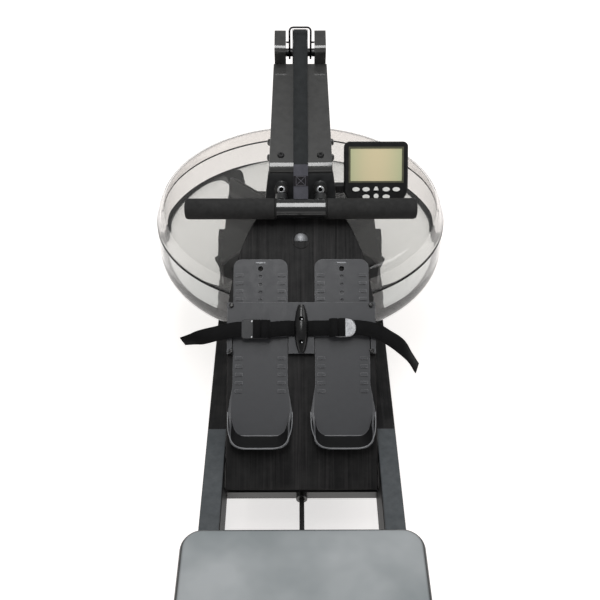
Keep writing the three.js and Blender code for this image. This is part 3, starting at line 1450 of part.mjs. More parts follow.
// Recoil rollers
function grooved(axleHalf) {
  const half = rollerWidth / 2;
  const groove = rollerGrooveWidth / 2;
  return turnedX([
    [0, -axleHalf],
    [rollerAxleRadius, -axleHalf],
    [rollerAxleRadius, -half],
    [rollerFlangeRadius, -half],
    [rollerFlangeRadius, -groove],
    [rollerGrooveRadius, -groove],
    [rollerGrooveRadius, groove],
    [rollerFlangeRadius, groove],
    [rollerFlangeRadius, half],
    [rollerAxleRadius, half],
    [rollerAxleRadius, axleHalf],
    [0, axleHalf],
  ]);
}
addPiece(machine, 'recoil_roller_lower', grooved(railInner - touchGap), steel)
  .position.set(0, lowerRollerY, lowerRollerZ);
addPiece(machine, 'recoil_roller_upper', grooved(earOuter), steel)
  .position.set(0, upperRollerY, upperRollerZ);

// Recoil cord: from the rear leg under the rails, up behind the board, over the top deck, round the spool
const cordPoints = [];
const cordRearY = rearLegY + legThickness / 2 + touchGap;
cordPoints.push(new THREE.Vector3(0, cordRearY, cordZ));
for (let k = 1; k < cordStraightSteps; k += 1) {
  const y = cordRearY + (k / cordStraightSteps) * (lowerRollerY - cordRearY);
  cordPoints.push(new THREE.Vector3(0, y, cordZ));
}
for (let k = 0; k <= cordArcSteps; k += 1) {
  const angle = -Math.PI / 2 + (k / cordArcSteps) * cordAngle;
  cordPoints.push(new THREE.Vector3(0, lowerRollerY + cordTouchRadius * Math.cos(angle),
    lowerRollerZ + cordTouchRadius * Math.sin(angle)));
}
for (let k = 0; k <= cordArcSteps; k += 1) {
  const angle = Math.PI / 2 + cordAngle * (1 - k / cordArcSteps);
  cordPoints.push(new THREE.Vector3(0, upperRollerY + cordTouchRadius * Math.cos(angle),
    upperRollerZ + cordTouchRadius * Math.sin(angle)));
}
const spoolTrack = drumCoreRadius + touchGap + cordRadius;
const spoolAim = Math.asin(spoolTrack / (tankCentreY - upperRollerY));
const spoolFrom = -spoolAim;
const spoolTurn = THREE.MathUtils.degToRad(cordWrapDeg);
for (let k = 0; k <= cordWrapSteps; k += 1) {
  const angle = spoolFrom + (k / cordWrapSteps) * spoolTurn;
  const spoolY = tankCentreY + spoolTrack * Math.sin(angle);
  cordPoints.push(new THREE.Vector3(spoolTrack * Math.cos(angle), spoolY, recoilSpoolMiddle));
}

addPiece(machine, 'recoil_cord', tube(cordPoints, cordRadius, cordSides), rubberBlack);

// Cord guide: a bush on a flat bar between the rails
const guideBar = box(-railInner + touchGap, railInner - touchGap,
  guideY + guideLength / 2 - guideBarThickness, guideY + guideLength / 2,
  cordZ - guideBarHalfHeight, cordZ + guideBarHalfHeight);
const guideBush = rodY(guideRadius, guideY - guideLength / 2, guideY + guideLength / 2, 0, cordZ, 20);
const guideBore = rodY(cordRadius + slidingGap, guideY - guideLength, guideY + guideLength, 0, cordZ, 16);
addPiece(machine, 'cord_guide', cut(join(guideBar, guideBush), guideBore), metalDark);

// Monitor on a tilting lug
const monitor = new THREE.Group();
monitor.position.set(monitorX, monitorY, monitorZ);
monitor.rotation.x = THREE.MathUtils.degToRad(monitorTiltDeg);
machine.add(monitor);

const halfW = monitorWidth / 2;
const halfH = monitorHeight / 2;
const caseShape = new THREE.Shape();
caseShape.moveTo(-halfW + monitorChinInset, -halfH);
caseShape.lineTo(halfW - monitorChinInset, -halfH);
caseShape.lineTo(halfW, -halfH + monitorChinHeight);
caseShape.lineTo(halfW, halfH - monitorCorner);
caseShape.absarc(halfW - monitorCorner, halfH - monitorCorner, monitorCorner, 0, Math.PI / 2);
caseShape.lineTo(-halfW + monitorCorner, halfH);
caseShape.absarc(-halfW + monitorCorner, halfH - monitorCorner, monitorCorner, Math.PI / 2, Math.PI);
caseShape.lineTo(-halfW, -halfH + monitorChinHeight);
caseShape.closePath();
const caseBody = bevelledSlab(caseShape, -monitorDepth, monitorDepth, monitorBevel, 4);
const screenShape = roundedRectangle(screenWidth, screenHeight, screenCorner);
const screenPocket = slab(screenShape, -screenDepth - touchGap, screenDepth + cutOverrun, 2)
  .translate(0, screenAbove, 0);
const lugZ = -monitorDepth - lugReach;
const lug = join(
  rodX(lugRadius, -lugWidth / 2, lugWidth / 2, -pivotDrop, lugZ),
  box(-lugWidth / 2, lugWidth / 2,
    -pivotDrop - lugRadius, -pivotDrop + lugRadius, lugZ, -monitorDepth + monitorBevel));
const lugBore = rodX(pivotRadius + runningGap, -lugWidth, lugWidth, -pivotDrop, lugZ);

// Keys: five in the upper row and three in the lower, each in its own pocket
const keyPlaces = [
  ['key_upper_1', -2 * buttonPitch, buttonRowOneAbove, ovalButtonWidth, ovalButtonHeight],
  ['key_upper_2', -buttonPitch, buttonRowOneAbove, ovalButtonWidth, ovalButtonHeight],
  ['key_upper_3', 0, buttonRowOneAbove, middleButtonWidth, middleButtonHeight],
  ['key_upper_4', buttonPitch, buttonRowOneAbove, ovalButtonWidth, ovalButtonHeight],
  ['key_upper_5', 2 * buttonPitch, buttonRowOneAbove, ovalButtonWidth, ovalButtonHeight],
  ['key_lower_1', -buttonPitch, buttonRowTwoAbove, ovalButtonWidth, ovalButtonHeight],
  ['key_lower_2', 0, roundButtonAbove, 2 * roundButtonRadius, 2 * roundButtonRadius],
  ['key_lower_3', buttonPitch, buttonRowTwoAbove, ovalButtonWidth, ovalButtonHeight],
];
function keyShape(width, height, grow) {
  const shape = new THREE.Shape();
  shape.absellipse(0, 0, width / 2 + grow, height / 2 + grow, 0, 2 * Math.PI);
  return shape;
}
const keyPockets = keyPlaces.map(([, x, above, width, height]) => slab(
  keyShape(width, height, buttonGap / 2), -buttonSeat - buttonTravel - touchGap,
  buttonSeat + buttonTravel + touchGap + cutOverrun, 6).translate(x, above, 0));
const monitorCase = cut(join(caseBody, lug), screenPocket, lugBore, ...keyPockets);
addPiece(monitor, 'monitor_case', monitorCase, blackPlastic);
const screen = slab(roundedRectangle(screenWidth - 2 * touchGap, screenHeight - 2 * touchGap, screenCorner),
  -screenDepth, screenDepth - touchGap, 2).translate(0, screenAbove, 0);
addPiece(monitor, 'monitor_screen', screen, screenGreen);
for (const [name, x, above, width, height] of keyPlaces) {
  const key = slab(keyShape(width, height, 0), -buttonSeat, buttonSeat + buttonProud, 6);
  addPiece(monitor, name, key, keyWhite).position.set(x, above, 0);
}

// Monitor arm: a bar from the right cheek, its end turned down to a pin through the lug
const tilt = THREE.MathUtils.degToRad(monitorTiltDeg);
const pivotY = monitorY - pivotDrop * Math.cos(tilt) - lugZ * Math.sin(tilt);
const pivotZ = monitorZ - pivotDrop * Math.sin(tilt) + lugZ * Math.cos(tilt);
const armFromX = cheekOuterX + touchGap;
const barTo = monitorX - lugWidth / 2 - slidingGap;
const pinTo = monitorX + lugWidth / 2 + slidingGap;
const armBar = box(armFromX, barTo, pivotY - armWidth / 2, pivotY + armWidth / 2,
  pivotZ - armHeight / 2, pivotZ + armHeight / 2);
const armBase = box(armFromX, armFromX + armBaseThickness, pivotY - armBaseHalf, pivotY + armBaseHalf,
  pivotZ - armHeight, pivotZ + armHeight);
const armPin = rodX(pivotRadius, barTo - armWidth / 2, pinTo, pivotY, pivotZ);
const armHead = rodX(lugRadius - slidingGap, pinTo, pinTo + armBaseThickness, pivotY, pivotZ);
addPiece(machine, 'monitor_arm', join(armBar, armBase, armPin, armHead), blackPlastic);

// Seat: crowned pad, carriage and two wheelsets that run on the tracks
const seatCentreY = seatFrontY - padDepth / 2;
const seat = new THREE.Group();
seat.position.y = seatCentreY;
machine.add(seat);
const padFoot = seatTop - padHeight;
const padShoulder = padHeight - padCrown;
const padRings = [];
for (const [insetShare, riseShare] of [...padFootShares, ...padShoulderShares]) {
  const z = padFoot + riseShare * padShoulder;
  padRings.push(roundedLoop(padWidth, padDepth, padCorner, insetShare * padSideRound, z, padOutlineSteps));
}
for (const share of padCrownShares) {
  const inset = padSideRound + share * (padDepth / 2 - padSideRound - padCorner * padCornerLeastShare);
  const z = padFoot + padShoulder + padCrown * (1 - (1 - share) ** 2);
  padRings.push(roundedLoop(padWidth, padDepth, padCorner, inset, z, padOutlineSteps));
}
addPiece(seat, 'seat_pad', skin(padRings), seatGrey);

const plateTop = padFoot - touchGap;
const plateFoot = plateTop - carriagePlateThickness;
const wheelZ = trackTop + touchGap + wheelsetRadius;
const carriageSideOuterX = carriageSideX + carriageSideThickness;
const carriageSideY = wheelsetPitch / 2 + carriageSideMargin;
const carriagePlateShape = roundedRectangle(
  2 * (carriageSideOuterX + carriagePlateMargin), padDepth - 2 * carriageEndInset, padCorner / 2);
const carriagePlate = slab(carriagePlateShape, plateFoot, carriagePlateThickness);
const carriageSides = sides.map(([, sign]) => box(
  carriageSideX, carriageSideOuterX, -carriageSideY, carriageSideY,
  plateFoot - carriageSideHeight, plateTop - carriagePlateThickness / 2).scale(sign, 1, 1));
const axleBores = [-1, 1].map((sign) => rodX(wheelsetAxleRadius + runningGap,
  -carriageSideOuterX - cutOverrun, carriageSideOuterX + cutOverrun, (sign * wheelsetPitch) / 2, wheelZ));
addPiece(seat, 'seat_carriage', cut(join(carriagePlate, ...carriageSides), ...axleBores), metalDark);

function wheelset() {
  const half = wheelsetWidth / 2;
  const inner = railCentreX - half;
  const outer = railCentreX + half;
  return turnedX([
    [0, -outer],
    [wheelsetRadius - wheelsetEdge, -outer],
    [wheelsetRadius, -outer + wheelsetEdge],
    [wheelsetRadius, -inner - wheelsetEdge],
    [wheelsetRadius - wheelsetEdge, -inner],
    [wheelsetAxleRadius, -inner],
    [wheelsetAxleRadius, inner],
    [wheelsetRadius - wheelsetEdge, inner],
    [wheelsetRadius, inner + wheelsetEdge],
    [wheelsetRadius, outer - wheelsetEdge],
    [wheelsetRadius - wheelsetEdge, outer],
    [0, outer],
  ]);
}
[['front', 1], ['rear', -1]].forEach(([end, sign]) => {
  const mesh = addPiece(seat, `seat_wheelset_${end}`, wheelset(), blackPlastic);
  mesh.position.set(0, (sign * wheelsetPitch) / 2, wheelZ);
});

export default machine;
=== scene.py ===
"""Looks of a water rowing machine, built round its fixed frame.

Metres, +Z up, +Y from the seat towards the tank, origin on the floor under the middle.
"""

import math

import bmesh
import bpy
from mathutils import Matrix, Vector


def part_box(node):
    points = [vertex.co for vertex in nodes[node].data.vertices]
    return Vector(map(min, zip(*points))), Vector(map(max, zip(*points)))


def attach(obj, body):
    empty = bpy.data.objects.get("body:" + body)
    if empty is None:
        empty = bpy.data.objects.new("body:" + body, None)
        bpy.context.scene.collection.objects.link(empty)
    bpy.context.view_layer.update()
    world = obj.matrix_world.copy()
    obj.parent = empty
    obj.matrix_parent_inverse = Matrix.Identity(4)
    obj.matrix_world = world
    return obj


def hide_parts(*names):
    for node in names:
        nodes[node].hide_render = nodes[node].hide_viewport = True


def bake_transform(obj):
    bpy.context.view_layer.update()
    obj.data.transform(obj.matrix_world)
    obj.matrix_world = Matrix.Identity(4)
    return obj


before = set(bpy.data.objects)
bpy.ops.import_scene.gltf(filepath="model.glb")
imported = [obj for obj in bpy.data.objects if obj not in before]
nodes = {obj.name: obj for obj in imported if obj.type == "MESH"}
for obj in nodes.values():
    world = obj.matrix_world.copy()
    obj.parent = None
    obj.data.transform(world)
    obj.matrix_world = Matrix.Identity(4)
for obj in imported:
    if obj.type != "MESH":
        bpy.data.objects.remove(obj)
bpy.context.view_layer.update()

SIDES = (("left", -1), ("right", 1))
X_AXIS = Vector((1, 0, 0))
Y_AXIS = Vector((0, 1, 0))
Z_AXIS = Vector((0, 0, 1))


# Sloped frames of the machine: each turns about X from its own starting point

def sloped(start, degrees):
    """Matrix from a sloped part's own directions (Y up the slope, Z square to it) to the row frame."""
    return Matrix.Translation(Vector(start)) @ Matrix.Rotation(math.radians(degrees), 4, "X")


BOARD_SLOPE = 39.4
BOARD = sloped((0, 0.181, 0.191), BOARD_SLOPE)
NECK = sloped((0, 0.6042, 0.5408), 17.85)
MONITOR = sloped((0.129, 0.592, 0.526), 56)


# Colours, as the paint codes they are mixed to

CURVE_START = 0.04045
CURVE_SLOPE = 12.92
CURVE_OFFSET = 0.055
CURVE_POWER = 2.4


def straight_light(share):
    """The light that a step of the colour scale stands for."""
    if share <= CURVE_START:
        return share / CURVE_SLOPE
    return ((share + CURVE_OFFSET) / (1 + CURVE_OFFSET)) ** CURVE_POWER


def paint(code):
    """Linear colour of a six-figure paint code."""
    return (*(straight_light(int(code[k:k + 2], 16) / 255) for k in (0, 2, 4)), 1)


# Node wiring

def feed(tree, socket, value):
    """Links an output into a socket, or sets the socket's own value."""
    if isinstance(value, bpy.types.NodeSocket):
        tree.links.new(value, socket)
    else:
        socket.default_value = value


def add_node(tree, kind, settings=None, **values):
    """Adds a node with its settings, and feeds the sockets named in values."""
    node = tree.nodes.new(kind)
    for key, value in (settings or {}).items():
        setattr(node, key, value)
    for key, value in values.items():
        feed(tree, node.inputs[key.replace("_", " ")], value)
    return node


def calculate(tree, operation, *values, clamp=False):
    node = add_node(tree, "ShaderNodeMath", {"operation": operation, "use_clamp": clamp})
    for socket, value in zip(node.inputs, values):
        feed(tree, socket, value)
    return node.outputs[0]


def mix_colours(tree, share, first, second, blend="MIX"):
    node = add_node(tree, "ShaderNodeMix", {"data_type": "RGBA", "blend_type": blend})
    colour_inputs = [s for s in node.inputs if s.type == "RGBA"]
    feed(tree, node.inputs[0], share)
    feed(tree, colour_inputs[0], first)
    feed(tree, colour_inputs[1], second)
    return next(s for s in node.outputs if s.type == "RGBA")


def remap(tree, value, low, high, to_low=0.0, to_high=1.0):
    node = add_node(tree, "ShaderNodeMapRange")
    for socket, number in zip(node.inputs, (value, low, high, to_low, to_high)):
        feed(tree, socket, number)
    return node.outputs[0]


def stretched(tree, vector, scale, turn=(0, 0, 0)):
    node = add_node(tree, "ShaderNodeMapping", Vector=vector, Scale=scale, Rotation=turn)
    return node.outputs[0]


def noise(tree, vector, scale, detail=3.0, roughness=0.5, distortion=0.0):
    node = add_node(tree, "ShaderNodeTexNoise", Vector=vector, Scale=scale, Detail=detail,
                    Roughness=roughness, Distortion=distortion)
    return node.outputs[0]


def object_place(tree):
    return add_node(tree, "ShaderNodeTexCoord").outputs["Object"]


def facing(tree, direction):
    """How squarely a face looks along a direction, from -1 to 1."""
    normal = add_node(tree, "ShaderNodeNewGeometry").outputs["Normal"]
    dot = add_node(tree, "ShaderNodeVectorMath", {"operation": "DOT_PRODUCT"})
    feed(tree, dot.inputs[0], normal)
    feed(tree, dot.inputs[1], tuple(direction))
    return dot.outputs["Value"]


# Shared effects, each a group placed in the materials that show it

def effect(name, inputs, outputs):
    """An empty effect group with its named sockets, and the sockets to wire between."""
    group = bpy.data.node_groups.new(name, "ShaderNodeTree")
    for label, kind, value in inputs:
        socket = group.interface.new_socket(label, in_out="INPUT", socket_type=kind)
        if value is not None:
            socket.default_value = value
    for label, kind in outputs:
        group.interface.new_socket(label, in_out="OUTPUT", socket_type=kind)
    given = group.nodes.new("NodeGroupInput").outputs
    wanted = group.nodes.new("NodeGroupOutput").inputs
    return group, given, wanted


def make_edge_rub_and_highlight():
    """Worn edges and painted edge highlight: where a rounded normal leaves the true one, broken up by noise.
    """
    group, given, wanted = effect(
        "edge_rub_and_highlight",
        [("Vector", "NodeSocketVector", None), ("Radius", "NodeSocketFloat", 0.0012),
         ("Amount", "NodeSocketFloat", 1.0)],
        [("Mask", "NodeSocketFloat")])
    rounded = add_node(group, "ShaderNodeBevel", {"samples": 4}, Radius=given["Radius"])
    true = add_node(group, "ShaderNodeNewGeometry").outputs["Normal"]
    dot = add_node(group, "ShaderNodeVectorMath", {"operation": "DOT_PRODUCT"})
    group.links.new(rounded.outputs[0], dot.inputs[0])
    group.links.new(true, dot.inputs[1])
    edge = remap(group, dot.outputs["Value"], 0.985, 0.86)
    patchy = remap(group, noise(group, given["Vector"], 90.0, 4.0), 0.32, 0.6)
    rubbed_and_highlit = calculate(group, "MULTIPLY", edge, patchy)
    group.links.new(calculate(group, "MULTIPLY", rubbed_and_highlit, given["Amount"], clamp=True), wanted["Mask"])
    return group


def make_fine_grain():
    """Fine speckle of moulded plastic, powder coat or foam."""
    group, given, wanted = effect(
        "fine_grain",
        [("Vector", "NodeSocketVector", None), ("Scale", "NodeSocketFloat", 900.0)],
        [("Height", "NodeSocketFloat"), ("Shade", "NodeSocketFloat")])
    fine = noise(group, given["Vector"], given["Scale"], 2.0)
    coarse_scale = calculate(group, "MULTIPLY", given["Scale"], 0.07)
    coarse = noise(group, given["Vector"], coarse_scale, 4.0, 0.6)
    group.links.new(fine, wanted["Height"])
    group.links.new(coarse, wanted["Shade"])
    return group


def make_wood_grain():
    """Stained open-grain wood whose fibres run along the vector's Y."""
    group, given, wanted = effect(
        "wood_grain",
        [("Vector", "NodeSocketVector", None), ("Dark", "NodeSocketColor", None),
         ("Light", "NodeSocketColor", None), ("Figure", "NodeSocketFloat", 0.5)],
        [("Color", "NodeSocketColor"), ("Height", "NodeSocketFloat"), ("Pores", "NodeSocketFloat")])
    fibres = noise(group, stretched(group, given["Vector"], (420, 7, 420)), 1.0, 5.0, 0.65)
    bands = noise(group, stretched(group, given["Vector"], (95, 2.2, 95)), 1.0, 3.0, 0.55, 0.6)
    rings_place = stretched(group, given["Vector"], (26, 1.9, 26))
    warp = noise(group, rings_place, 0.8, 2.0)
    rings = add_node(group, "ShaderNodeTexWave", {"wave_type": "RINGS", "rings_direction": "Y"},
                     Vector=rings_place, Scale=1.3, Distortion=calculate(group, "MULTIPLY", warp, 9.0),
                     Detail=2.0).outputs["Fac"]
    streaks = remap(group, fibres, 0.42, 0.72)
    broad = remap(group, bands, 0.35, 0.7)
    figure = calculate(group, "MULTIPLY", remap(group, rings, 0.55, 0.95), given["Figure"])
    light = calculate(group, "MULTIPLY", streaks, calculate(group, "ADD", broad, figure))
    group.links.new(mix_colours(group, calculate(group, "MULTIPLY", light, 1.0, clamp=True),
                                given["Dark"], given["Light"]), wanted["Color"])
    group.links.new(fibres, wanted["Height"])
    group.links.new(remap(group, fibres, 0.36, 0.46), wanted["Pores"])
    return group


def make_weave():
    """Plain webbing weave laid along the strap's own map, with a fine warp and a coarser weft."""
    group, given, wanted = effect(
        "weave",
        [("Vector", "NodeSocketVector", None), ("Warp", "NodeSocketFloat", 900.0),
         ("Weft", "NodeSocketFloat", 600.0)],
        [("Height", "NodeSocketFloat"), ("Shade", "NodeSocketFloat")])
    split = add_node(group, "ShaderNodeSeparateXYZ", Vector=given["Vector"])
    weft_pitch = calculate(group, "MULTIPLY", given["Weft"], math.tau)
    warp_pitch = calculate(group, "MULTIPLY", given["Warp"], math.tau)
    weft = calculate(group, "SINE", calculate(group, "MULTIPLY", split.outputs["X"], weft_pitch))
    warp = calculate(group, "SINE", calculate(group, "MULTIPLY", split.outputs["Y"], warp_pitch))
    height = remap(group, calculate(group, "MULTIPLY", weft, warp), -1.0, 1.0)
    fuzz = calculate(group, "MULTIPLY", noise(group, given["Vector"], 700.0, 3.0), 0.4)
    group.links.new(calculate(group, "ADD", height, fuzz), wanted["Height"])
    group.links.new(height, wanted["Shade"])
    return group


def make_dust():
    """A little dust on faces that look up."""
    group, given, wanted = effect(
        "dust",
        [("Vector", "NodeSocketVector", None), ("Amount", "NodeSocketFloat", 0.1)],
        [("Mask", "NodeSocketFloat")])
    normal = add_node(group, "ShaderNodeNewGeometry").outputs["Normal"]
    up = add_node(group, "ShaderNodeSeparateXYZ", Vector=normal).outputs["Z"]
    settled = remap(group, up, 0.2, 0.9)
    patchy = remap(group, noise(group, given["Vector"], 24.0, 5.0, 0.65), 0.4, 0.7)
    share = calculate(group, "MULTIPLY", settled, patchy)
    group.links.new(calculate(group, "MULTIPLY", share, given["Amount"]), wanted["Mask"])
    return group


def make_brushed():
    """Fine lines drawn along the vector's Y, as on rolled or brushed metal."""
    group, given, wanted = effect(
        "brushed_lines",
        [("Vector", "NodeSocketVector", None)],
        [("Height", "NodeSocketFloat"), ("Shade", "NodeSocketFloat")])
    lines = noise(group, stretched(group, given["Vector"], (900, 12, 900)), 1.0, 3.0)
    group.links.new(lines, wanted["Height"])
    group.links.new(remap(group, lines, 0.3, 0.7), wanted["Shade"])
    return group


# Lighter edges in every finish: part wear, part painted highlight where edges catch the light
EDGE_RUB_AND_HIGHLIGHT = make_edge_rub_and_highlight()
FINE_GRAIN = make_fine_grain()
WOOD_GRAIN = make_wood_grain()
WEAVE = make_weave()
DUST = make_dust()
BRUSHED = make_brushed()


def place_effect(tree, group, **values):
    node = tree.nodes.new("ShaderNodeGroup")
    node.node_tree = group
    for key, value in values.items():
        feed(tree, node.inputs[key], value)
    return node.outputs


def start_material(name, roughness, specular=0.5, metallic=0.0):
    material = bpy.data.materials.new(name)
    material.use_nodes = True
    tree = material.node_tree
    tree.nodes.clear()
    shader = tree.nodes.new("ShaderNodeBsdfPrincipled")
    output = tree.nodes.new("ShaderNodeOutputMaterial")
    tree.links.new(shader.outputs["BSDF"], output.inputs["Surface"])
    shader.inputs["Roughness"].default_value = roughness
    shader.inputs["Metallic"].default_value = metallic
    shader.inputs["Specular IOR Level"].default_value = specular
    return material, tree, shader


def raise_surface(tree, shader, height, strength, distance=0.0004):
    bump = add_node(tree, "ShaderNodeBump", Height=height, Strength=strength, Distance=distance)
    tree.links.new(bump.outputs[0], shader.inputs["Normal"])


def dress(tree, shader, colour, rough, height, strength, distance=0.0004):
    """Feeds a shader its colour and roughness, and raises its surface by a height."""
    tree.links.new(colour, shader.inputs["Base Color"])
    tree.links.new(rough, shader.inputs["Roughness"])
    raise_surface(tree, shader, height, strength, distance)


DUST_GREY = paint("8c8a87")
RUB_AND_HIGHLIGHT_RADIUS = 0.0012


def rubbed_highlit_and_dusty(tree, colour, place, rub_and_highlight_colour, rub_and_highlight, dust):
    """A colour with its edges worn light and lightened as a painted highlight, and dust on top."""
    rubbed_and_highlit = place_effect(tree, EDGE_RUB_AND_HIGHLIGHT, Vector=place, Radius=RUB_AND_HIGHLIGHT_RADIUS, Amount=rub_and_highlight)["Mask"]
    edged = mix_colours(tree, rubbed_and_highlit, colour, rub_and_highlight_colour)
    dusty = place_effect(tree, DUST, Vector=place, Amount=dust)["Mask"]
    return mix_colours(tree, dusty, edged, DUST_GREY)


def stained_wood(name, dark, light, turn, figure, specular, roughness=0.5):
    """Black-stained wood with its grain along Y, or up a slope of that many degrees."""
    material, tree, shader = start_material(name, roughness, specular)
    place = object_place(tree)
    along = stretched(tree, place, (1, 1, 1), (math.radians(-turn), 0, 0))
    grain = place_effect(tree, WOOD_GRAIN, Vector=along, Dark=paint(dark), Light=paint(light), Figure=figure)
    colour = rubbed_highlit_and_dusty(tree, grain["Color"], place, paint("5a5653"), 0.35, 0.05)
    rough = remap(tree, grain["Pores"], 0.0, 1.0, roughness + 0.15, roughness)
    dress(tree, shader, colour, rough, grain["Height"], 0.25)
    return material


# Painted shade: how far a face turns from the board's own up before it takes the shade colour
STEEP_SHADE_FROM = 0.82
STEEP_SHADE_TO = 0.72


def coated(name, colour, shade, roughness, specular, scale=1100.0, bump=0.12, rub_and_highlight="8a8885",
           rub_and_highlight_amount=0.5, dust=0.04, steep_shade=None, gloss=None):
    """Powder-coated metal or moulded plastic: fine grain, slight mottle, edges worn light and lightened as
    painted highlight, painted shade on the walls that stand up from the board, and a clear coat of that
    roughness."""
    material, tree, shader = start_material(name, roughness, specular)
    if gloss:
        shader.inputs["Coat Weight"].default_value = 1.0
        shader.inputs["Coat Roughness"].default_value = gloss
    place = object_place(tree)
    grain = place_effect(tree, FINE_GRAIN, Vector=place, Scale=scale)
    base = mix_colours(tree, remap(tree, grain["Shade"], 0.35, 0.65), paint(colour), paint(shade))
    if steep_shade:
        # Faces standing steeply up from the board, such as the heel cup's inner walls, darkened as painted
        # shade
        square = facing(tree, BOARD.to_3x3() @ Z_AXIS)
        base = mix_colours(tree, remap(tree, square, STEEP_SHADE_FROM, STEEP_SHADE_TO), base, paint(steep_shade))
    colour_out = rubbed_highlit_and_dusty(tree, base, place, paint(rub_and_highlight), rub_and_highlight_amount, dust)
    rough = remap(tree, grain["Shade"], 0.3, 0.7, roughness - 0.05, roughness + 0.08)
    dress(tree, shader, colour_out, rough, grain["Height"], bump)
    return material


def bright_metal(name, colour, shade, roughness):
    """Plated or ground steel with fine lines."""
    material, tree, shader = start_material(name, roughness, metallic=1.0)
    place = object_place(tree)
    lines = place_effect(tree, BRUSHED, Vector=place)
    base = mix_colours(tree, lines["Shade"], paint(colour), paint(shade))
    rough = remap(tree, lines["Shade"], 0.0, 1.0, roughness, roughness + 0.08)
    dress(tree, shader, base, rough, lines["Height"], 0.08)
    return material


def strap_webbing(name, dark, light, warp=900.0, weft=600.0):
    """Woven webbing, with a little fuzz in its shade."""
    material, tree, shader = start_material(name, 0.75, 0.12)
    shader.inputs["Sheen Weight"].default_value = 0.03
    laid = add_node(tree, "ShaderNodeTexCoord").outputs["UV"]
    weave = place_effect(tree, WEAVE, Vector=laid, Warp=warp, Weft=weft)
    base = mix_colours(tree, weave["Shade"], paint(dark), paint(light))
    fuzz = remap(tree, noise(tree, laid, 60.0, 4.0), 0.3, 0.7, 0.85, 1.15)
    colour = mix_colours(tree, 1.0, base, fuzz, "MULTIPLY")
    rough = remap(tree, weave["Shade"], 0.0, 1.0, 0.85, 0.7)
    dress(tree, shader, colour, rough, weave["Height"], 0.6, 0.0003)
    return material


def clear_plastic(name, tint):
    """Clear tank plastic, which lets light through to what it holds."""
    material, tree, shader = start_material(name, 0.02)
    place = object_place(tree)
    haze = remap(tree, noise(tree, place, 9.0, 4.0), 0.3, 0.8, 0.0, 0.008)
    tree.links.new(haze, shader.inputs["Roughness"])
    shader.inputs["Base Color"].default_value = paint(tint)
    shader.inputs["Transmission Weight"].default_value = 1.0
    shader.inputs["IOR"].default_value = 1.45
    through = add_node(tree, "ShaderNodeBsdfTransparent", Color=paint(tint)).outputs[0]
    path = add_node(tree, "ShaderNodeLightPath").outputs
    passing = calculate(tree, "MAXIMUM", path["Is Shadow Ray"], path["Is Diffuse Ray"])
    mixed = add_node(tree, "ShaderNodeMixShader")
    feed(tree, mixed.inputs[0], passing)
    feed(tree, mixed.inputs[1], shader.outputs[0])
    feed(tree, mixed.inputs[2], through)
    output = next(n for n in tree.nodes if n.type == "OUTPUT_MATERIAL")
    tree.links.new(mixed.outputs[0], output.inputs["Surface"])
    return material


def water(name, tint):
    """Still water, with a faint swell on its surface."""
    material = clear_plastic(name, tint)
    tree = material.node_tree
    shader = next(n for n in tree.nodes if n.type == "BSDF_PRINCIPLED")
    shader.inputs["IOR"].default_value = 1.33
    raise_surface(tree, shader, noise(tree, object_place(tree), 16.0, 1.0), 0.05, 0.002)
    return material


def seat_cover(name):
    """Black smooth cover with a painted grey reflection in clouds on top, dark where it turns down at the
    edge.
    """
    material, tree, shader = start_material(name, 0.4)
    place = object_place(tree)
    normal = add_node(tree, "ShaderNodeNewGeometry").outputs["Normal"]
    up = add_node(tree, "ShaderNodeSeparateXYZ", Vector=normal).outputs["Z"]
    # Painted reflection: grey clouds on the faces that look up
    reflection_cloud = noise(tree, place, 9.0, 3.0, 0.5)
    top = mix_colours(tree, remap(tree, reflection_cloud, 0.35, 0.65), paint("858b8d"), paint("a0a4a6"))
    grain = place_effect(tree, FINE_GRAIN, Vector=place, Scale=1400.0)
    base = mix_colours(tree, remap(tree, up, 0.8, 0.95), paint("2b2c2d"), top)
    dusty = place_effect(tree, DUST, Vector=place, Amount=0.05)["Mask"]
    rough = remap(tree, grain["Shade"], 0.3, 0.7, 0.36, 0.48)
    dress(tree, shader, mix_colours(tree, dusty, base, DUST_GREY), rough, grain["Height"], 0.15)
    return material


def screen_face(name):
    """Display glass: beige green with a soft lighter reflection band."""
    material, tree, shader = start_material(name, 0.12)
    place = object_place(tree)
    across = add_node(tree, "ShaderNodeSeparateXYZ", Vector=place).outputs["X"]
    wobble = calculate(tree, "MULTIPLY", noise(tree, place, 14.0, 2.0), 0.012)
    shifted = calculate(tree, "ADD", across, wobble)
    band = calculate(tree, "SINE", remap(tree, shifted, 0.085, 0.185, 0.0, math.pi))
    green = paint("b9c29a")
    beige = paint("dfd2ab")
    tree.links.new(mix_colours(tree, band, green, beige), shader.inputs["Base Color"])
    speck = remap(tree, noise(tree, place, 400.0, 2.0), 0.3, 0.7, 0.1, 0.18)
    tree.links.new(speck, shader.inputs["Roughness"])
    return material


BOARD_WOOD = stained_wood("board_wood", "0c0c0d", "262425", BOARD_SLOPE, 0.7, 0.18)
RAIL_WOOD = stained_wood("rail_wood", "141415", "272728", 0.0, 0.3, 0.22)
DECK_WOOD = stained_wood("deck_wood", "131313", "272626", 0.0, 0.4, 0.22)
TRACK_COAT = coated("track_coat", "43474a", "4d5154", 0.5, 0.3, rub_and_highlight="7d8082")
NECK_COAT = coated("neck_coat", "2c2c2b", "343433", 0.4, 0.4, bump=0.03, rub_and_highlight_amount=0.12, dust=0.0,
                   gloss=0.09)
BLACK_PLASTIC = coated("black_plastic", "161617", "1f1f20", 0.35, 0.5, rub_and_highlight="5c5c5c")
BLOCK_COAT = coated("block_coat", "202122", "2a2b2c", 0.34, 0.6, bump=0.05, rub_and_highlight="6a6a6a")
CLAMP_PLASTIC = coated("clamp_plastic", "0a0a0b", "121213", 0.25, 0.45, rub_and_highlight="565656")
